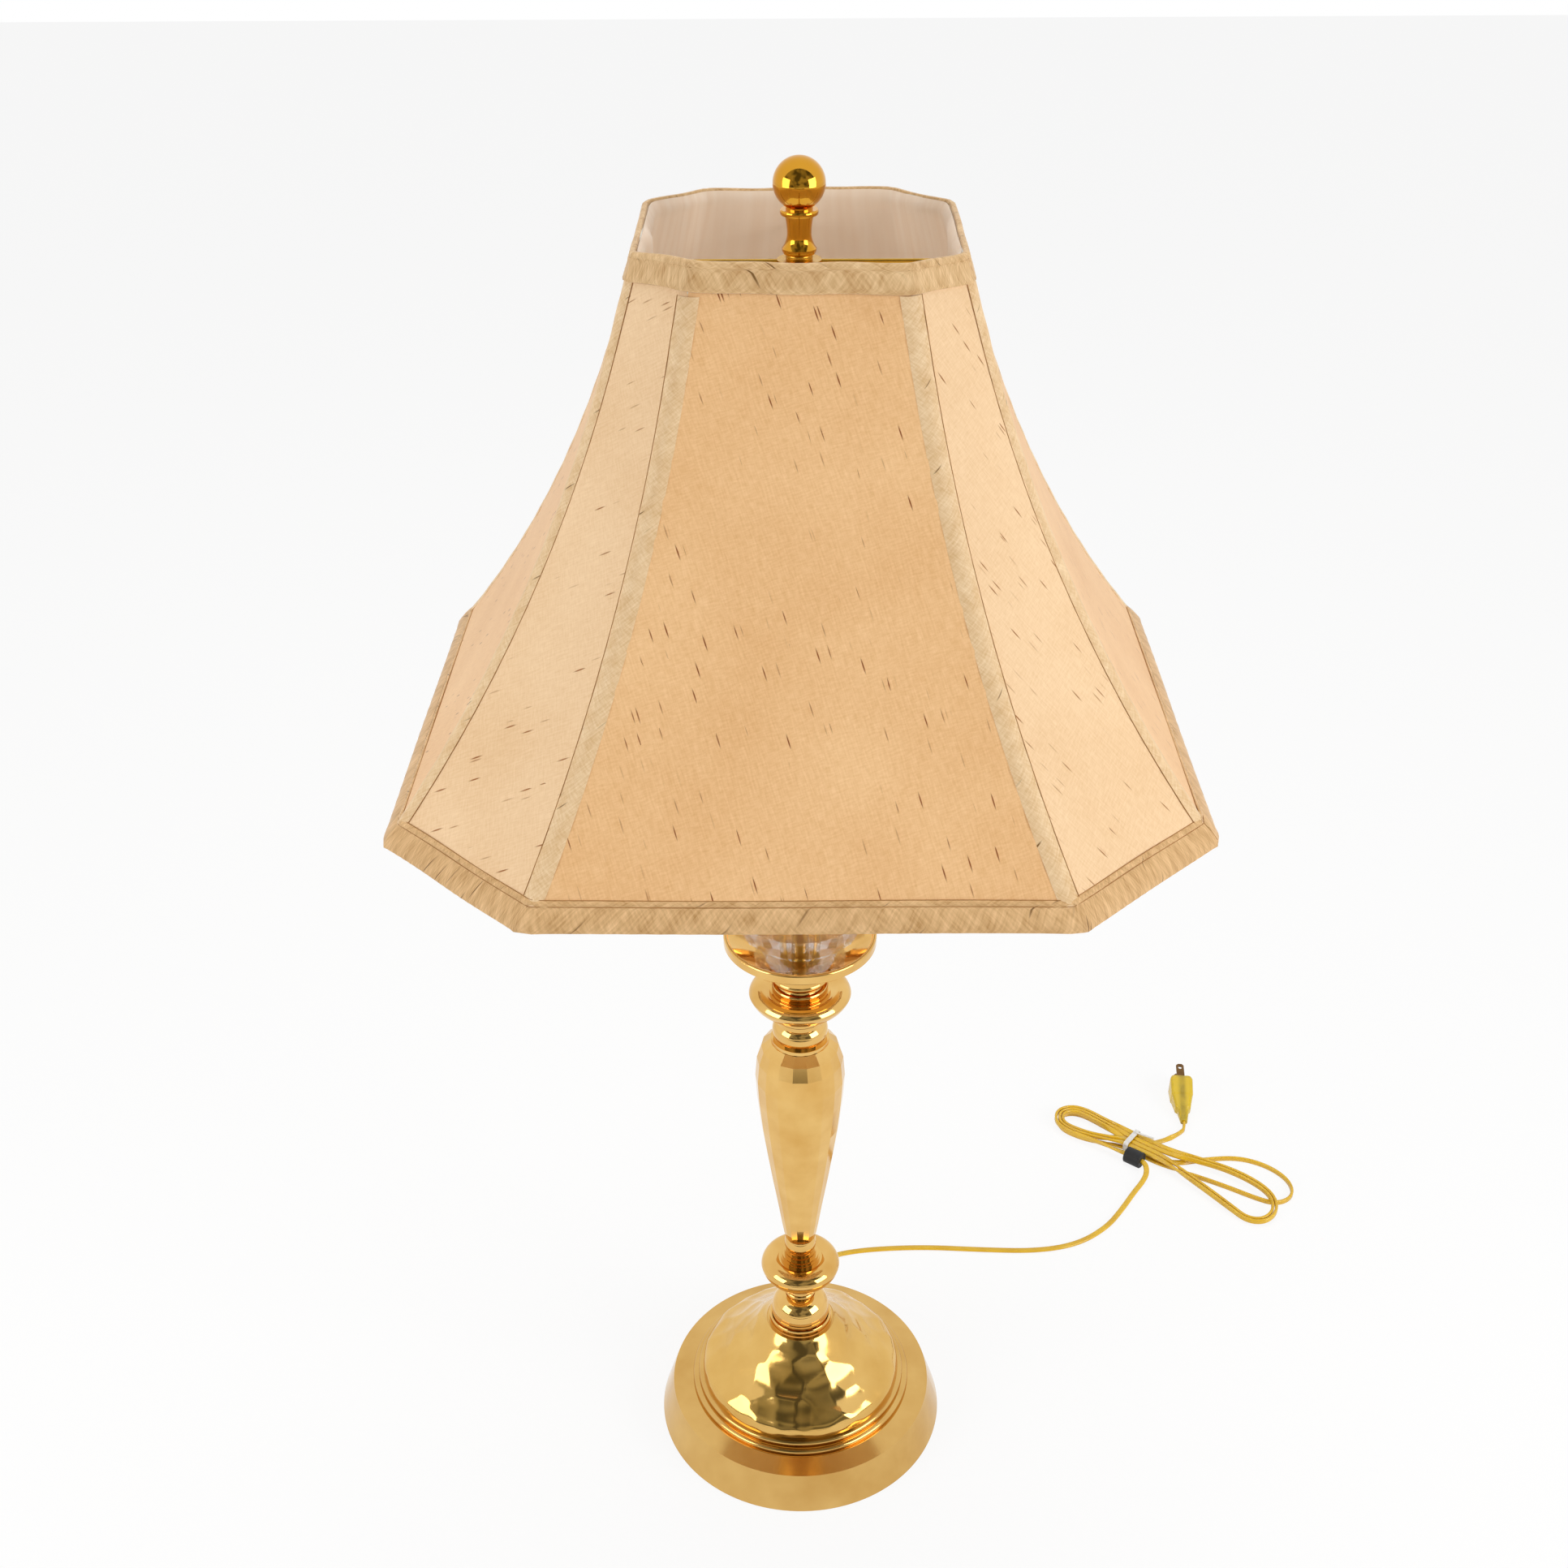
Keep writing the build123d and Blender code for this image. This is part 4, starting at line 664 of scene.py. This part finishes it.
for quarter in (1, 2, 3):
    arm = spider_arm.copy()
    arm.data = spider_arm.data.copy()
    arm.data.transform(Matrix.Rotation(quarter * pi / 2, 4, "Z"))
    bpy.context.scene.collection.objects.link(arm)
    arm.select_set(True)
bpy.ops.object.join()
bpy.ops.object.shade_smooth_by_angle(angle=radians(40))
spider_arm.name = "spider_wires"
spider_arm.data.materials.append(drawn_brass)
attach(spider_arm, "shade")
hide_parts("spider_arms")

# Hammered skin of the dome: rings up the two arcs of its turning, then beaten into shallow bowls
swell_centre, swell_radius, swell_angles, swell_steps = (52.29, 34.38), 14.28, (5.71, 57.32), 8
sweep_centre, sweep_radius, sweep_angles, sweep_steps = (145.16, 179.18), 157.74, (237.32, 218.96), 36
skin = 0.15
skin_tuck = 0.9
dome_segments = 220
bowl_size = 14 * mm
bowl_depth = 1.7 * mm
uneven_size = 34 * mm
uneven_depth = 0.8 * mm
beaten_low = 36.5 * mm
beaten_high = 79 * mm
beaten_fade = 6 * mm


def arc_place(centre, radius, angles, share):
    angle = radians(angles[0] + share * (angles[1] - angles[0]))
    return centre[0] + radius * cos(angle), centre[1] + radius * sin(angle)


dome_rings = [arc_place(swell_centre, swell_radius + skin, swell_angles, step / swell_steps)
              for step in range(swell_steps + 1)]
dome_rings += [arc_place(sweep_centre, sweep_radius - skin, sweep_angles, step / sweep_steps)
               for step in range(1, sweep_steps + 1)]
foot, head = dome_rings[0], dome_rings[-1]
dome_rings = [(foot[0] - skin_tuck, foot[1]), *dome_rings, (head[0] - skin_tuck, head[1] - skin_tuck / 2)]
bpy.ops.object.select_all(action="DESELECT")
bpy.ops.mesh.primitive_circle_add(vertices=dome_segments, radius=dome_rings[0][0] * mm,
                                  location=(0, 0, dome_rings[0][1] * mm))
dome_skin = bpy.context.object
dome_skin.name = "hammered_dome"
bpy.ops.object.transform_apply(location=True, rotation=True, scale=True)
bpy.ops.object.mode_set(mode="EDIT")
bpy.ops.mesh.select_all(action="SELECT")
for (radius, z), (next_radius, next_z) in zip(dome_rings, dome_rings[1:]):
    bpy.ops.mesh.extrude_region_move(TRANSFORM_OT_translate={"value": (0, 0, (next_z - z) * mm)})
    bpy.ops.transform.resize(value=(next_radius / radius, next_radius / radius, 1), center_override=(0, 0, 0))
bpy.ops.mesh.select_all(action="SELECT")
bpy.ops.mesh.normals_make_consistent(inside=False)
bpy.ops.object.mode_set(mode="OBJECT")
beaten = dome_skin.vertex_groups.new(name="beaten")
for vertex in dome_skin.data.vertices:
    from_edge = min(vertex.co.z - beaten_low, beaten_high - vertex.co.z)
    beaten.add([vertex.index], min(1.0, max(0.0, from_edge / beaten_fade)), "REPLACE")
bowls = bpy.data.textures.new("hammer_bowls", "VORONOI")
bowls.distance_metric = "DISTANCE_SQUARED"
bowls.noise_scale = bowl_size
uneven = bpy.data.textures.new("uneven_beating", "CLOUDS")
uneven.noise_scale = uneven_size
for texture, depth in ((bowls, bowl_depth), (uneven, uneven_depth)):
    beat = dome_skin.modifiers.new(texture.name, "DISPLACE")
    beat.texture = texture
    beat.texture_coords = "LOCAL"
    beat.vertex_group = beaten.name
    beat.strength = depth
    beat.mid_level = 0.0
    bpy.ops.object.modifier_apply(modifier=beat.name)
bpy.ops.object.shade_smooth_by_angle(angle=radians(50))
dome_skin.data.materials.append(hammered_brass)
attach(dome_skin, "stand")

# Felt under the base, cut round with a softened edge
felt_radius = 92.8 * mm
felt_thickness = 2 * mm
felt_edge = 0.6 * mm
bpy.ops.object.select_all(action="DESELECT")
bpy.ops.mesh.primitive_cylinder_add(vertices=96, radius=felt_radius, depth=felt_thickness,
                                    location=(0, 0, felt_thickness / 2))
felt = bpy.context.object
felt.name = "felt_disc"
bpy.ops.object.transform_apply(location=True, rotation=True, scale=True)
bpy.ops.object.mode_set(mode="EDIT")
bpy.ops.mesh.select_all(action="DESELECT")
bpy.ops.mesh.edges_select_sharp(sharpness=radians(60))
bpy.ops.mesh.bevel(offset=felt_edge, segments=3, affect="EDGES")
bpy.ops.object.mode_set(mode="OBJECT")
bpy.ops.object.shade_smooth_by_angle(angle=radians(40))
felt.data.materials.append(base_felt)
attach(felt, "stand")
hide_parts("felt_pad")

# A loop over the shade's sides that does nothing
for name, direction, half_angle, reach, weft in shade_sides:
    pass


# Studio: pale floor, a white surround, a dim room behind the camera and soft lamps left, right and above
def white_surround(tree, share, lit_surface):
    seen = add_node(tree, "ShaderNodeLightPath")
    by_glass = add_node(tree, "ShaderNodeMath", {0: seen.outputs["Is Glossy Ray"],
                                                 1: seen.outputs["Is Transmission Ray"]}, operation="MAXIMUM")
    by_any = add_node(tree, "ShaderNodeMath", {0: seen.outputs["Is Camera Ray"], 1: by_glass.outputs[0]},
                      operation="MAXIMUM")
    shown = add_node(tree, "ShaderNodeMath", {0: by_any.outputs[0], 1: share}, operation="MULTIPLY")
    white = add_node(tree, "ShaderNodeBackground" if lit_surface.bl_idname == "ShaderNodeBackground"
                     else "ShaderNodeEmission", {"Color": colour("#FFFFFF"), "Strength": 1.0})
    return add_node(tree, "ShaderNodeMixShader", {"Fac": shown.outputs[0], 1: lit_surface.outputs[0],
                                                  2: white.outputs[0]})


floor_size = 12
floor_white_share = 0.88
surround_strength = 0.36
lamp_middle = Vector((0, 0, 0.45))
bpy.ops.object.select_all(action="DESELECT")
bpy.ops.mesh.primitive_plane_add(size=floor_size, location=(0, 0, 0))
floor = bpy.context.object
floor.name = "floor"
floor_white, tree, shader = new_material("studio_floor", {"Base Color": colour("#F7F6F4"), "Roughness": 0.8,
                                                          "Specular IOR Level": 0.1})
seen_floor = white_surround(tree, floor_white_share, shader)
tree.links.new(seen_floor.outputs[0], tree.nodes["Material Output"].inputs["Surface"])
floor.data.materials.append(floor_white)


# The dim room behind the camera, a part of a great ball that only polished metal sees
room_reach = 2.8
room_front = 0.6
room_low = 0.4
table_front = 1.25
room_shape_size = 0.9
bpy.ops.object.select_all(action="DESELECT")
bpy.ops.mesh.primitive_uv_sphere_add(segments=48, ring_count=24, radius=room_reach, location=(0, 0, 0))
room = bpy.context.object
room.name = "dim_room"
bpy.ops.object.mode_set(mode="EDIT")
for cut_place, cut_way in (((0, -room_front, 0), (0, 1, 0)), ((0, 0, room_low), (0, 0, -1))):
    bpy.ops.mesh.select_all(action="SELECT")
    bpy.ops.mesh.bisect(plane_co=cut_place, plane_no=cut_way, clear_outer=True)
bpy.ops.mesh.primitive_plane_add(size=room_reach, location=(0, -table_front - room_reach / 2, 2 * mm))
bpy.ops.object.mode_set(mode="OBJECT")
room_dusk, tree, shader = new_material("dim_room", {})
place = add_node(tree, "ShaderNodeTexCoord").outputs["Object"]
shapes = add_node(tree, "ShaderNodeTexNoise", {"Vector": place, "Scale": 1 / room_shape_size, "Detail": 1.0})
dusk = add_node(tree, "ShaderNodeMapRange", {"Value": shapes.outputs["Fac"], "From Min": 0.38, "From Max": 0.62,
                                             "To Min": 0.12, "To Max": 0.5})
glow = add_node(tree, "ShaderNodeEmission", {"Color": colour("#EAE8D6"), "Strength": dusk.outputs[0]})
tree.links.new(glow.outputs[0], tree.nodes["Material Output"].inputs["Surface"])
room.data.materials.append(room_dusk)
room.visible_camera = False
room.visible_diffuse = False
room.visible_transmission = False
room.visible_shadow = False

world = bpy.data.worlds.new("studio")
world.use_nodes = True
bpy.context.scene.world = world
tree = world.node_tree
around_light = tree.nodes["Background"]
around_light.inputs["Color"].default_value = colour("#FFFFFF")
around_light.inputs["Strength"].default_value = surround_strength
tree.links.new(white_surround(tree, 1.0, around_light).outputs[0], tree.nodes["World Output"].inputs["Surface"])


# A soft lamp that faces the middle of the lamp
def soft_lamp(name, place, size, power, shows=True):
    lamp_data = bpy.data.lights.new(name, "AREA")
    lamp_data.shape = "RECTANGLE"
    lamp_data.size, lamp_data.size_y = size
    lamp_data.energy = power
    lamp = bpy.data.objects.new(name, lamp_data)
    bpy.context.scene.collection.objects.link(lamp)
    lamp.location = place
    lamp.rotation_euler = (Vector(place) - lamp_middle).to_track_quat("Z", "Y").to_euler()
    lamp.visible_glossy = shows


soft_lamp("left_softbox", (-1.5, -0.85, 0.95), (1.05, 1.05), 13.5)
soft_lamp("right_softbox", (1.5, -0.85, 0.95), (1.05, 1.05), 18)
soft_lamp("top_softbox", (0, 0.5, 2.4), (1.8, 1.4), 19, shows=False)
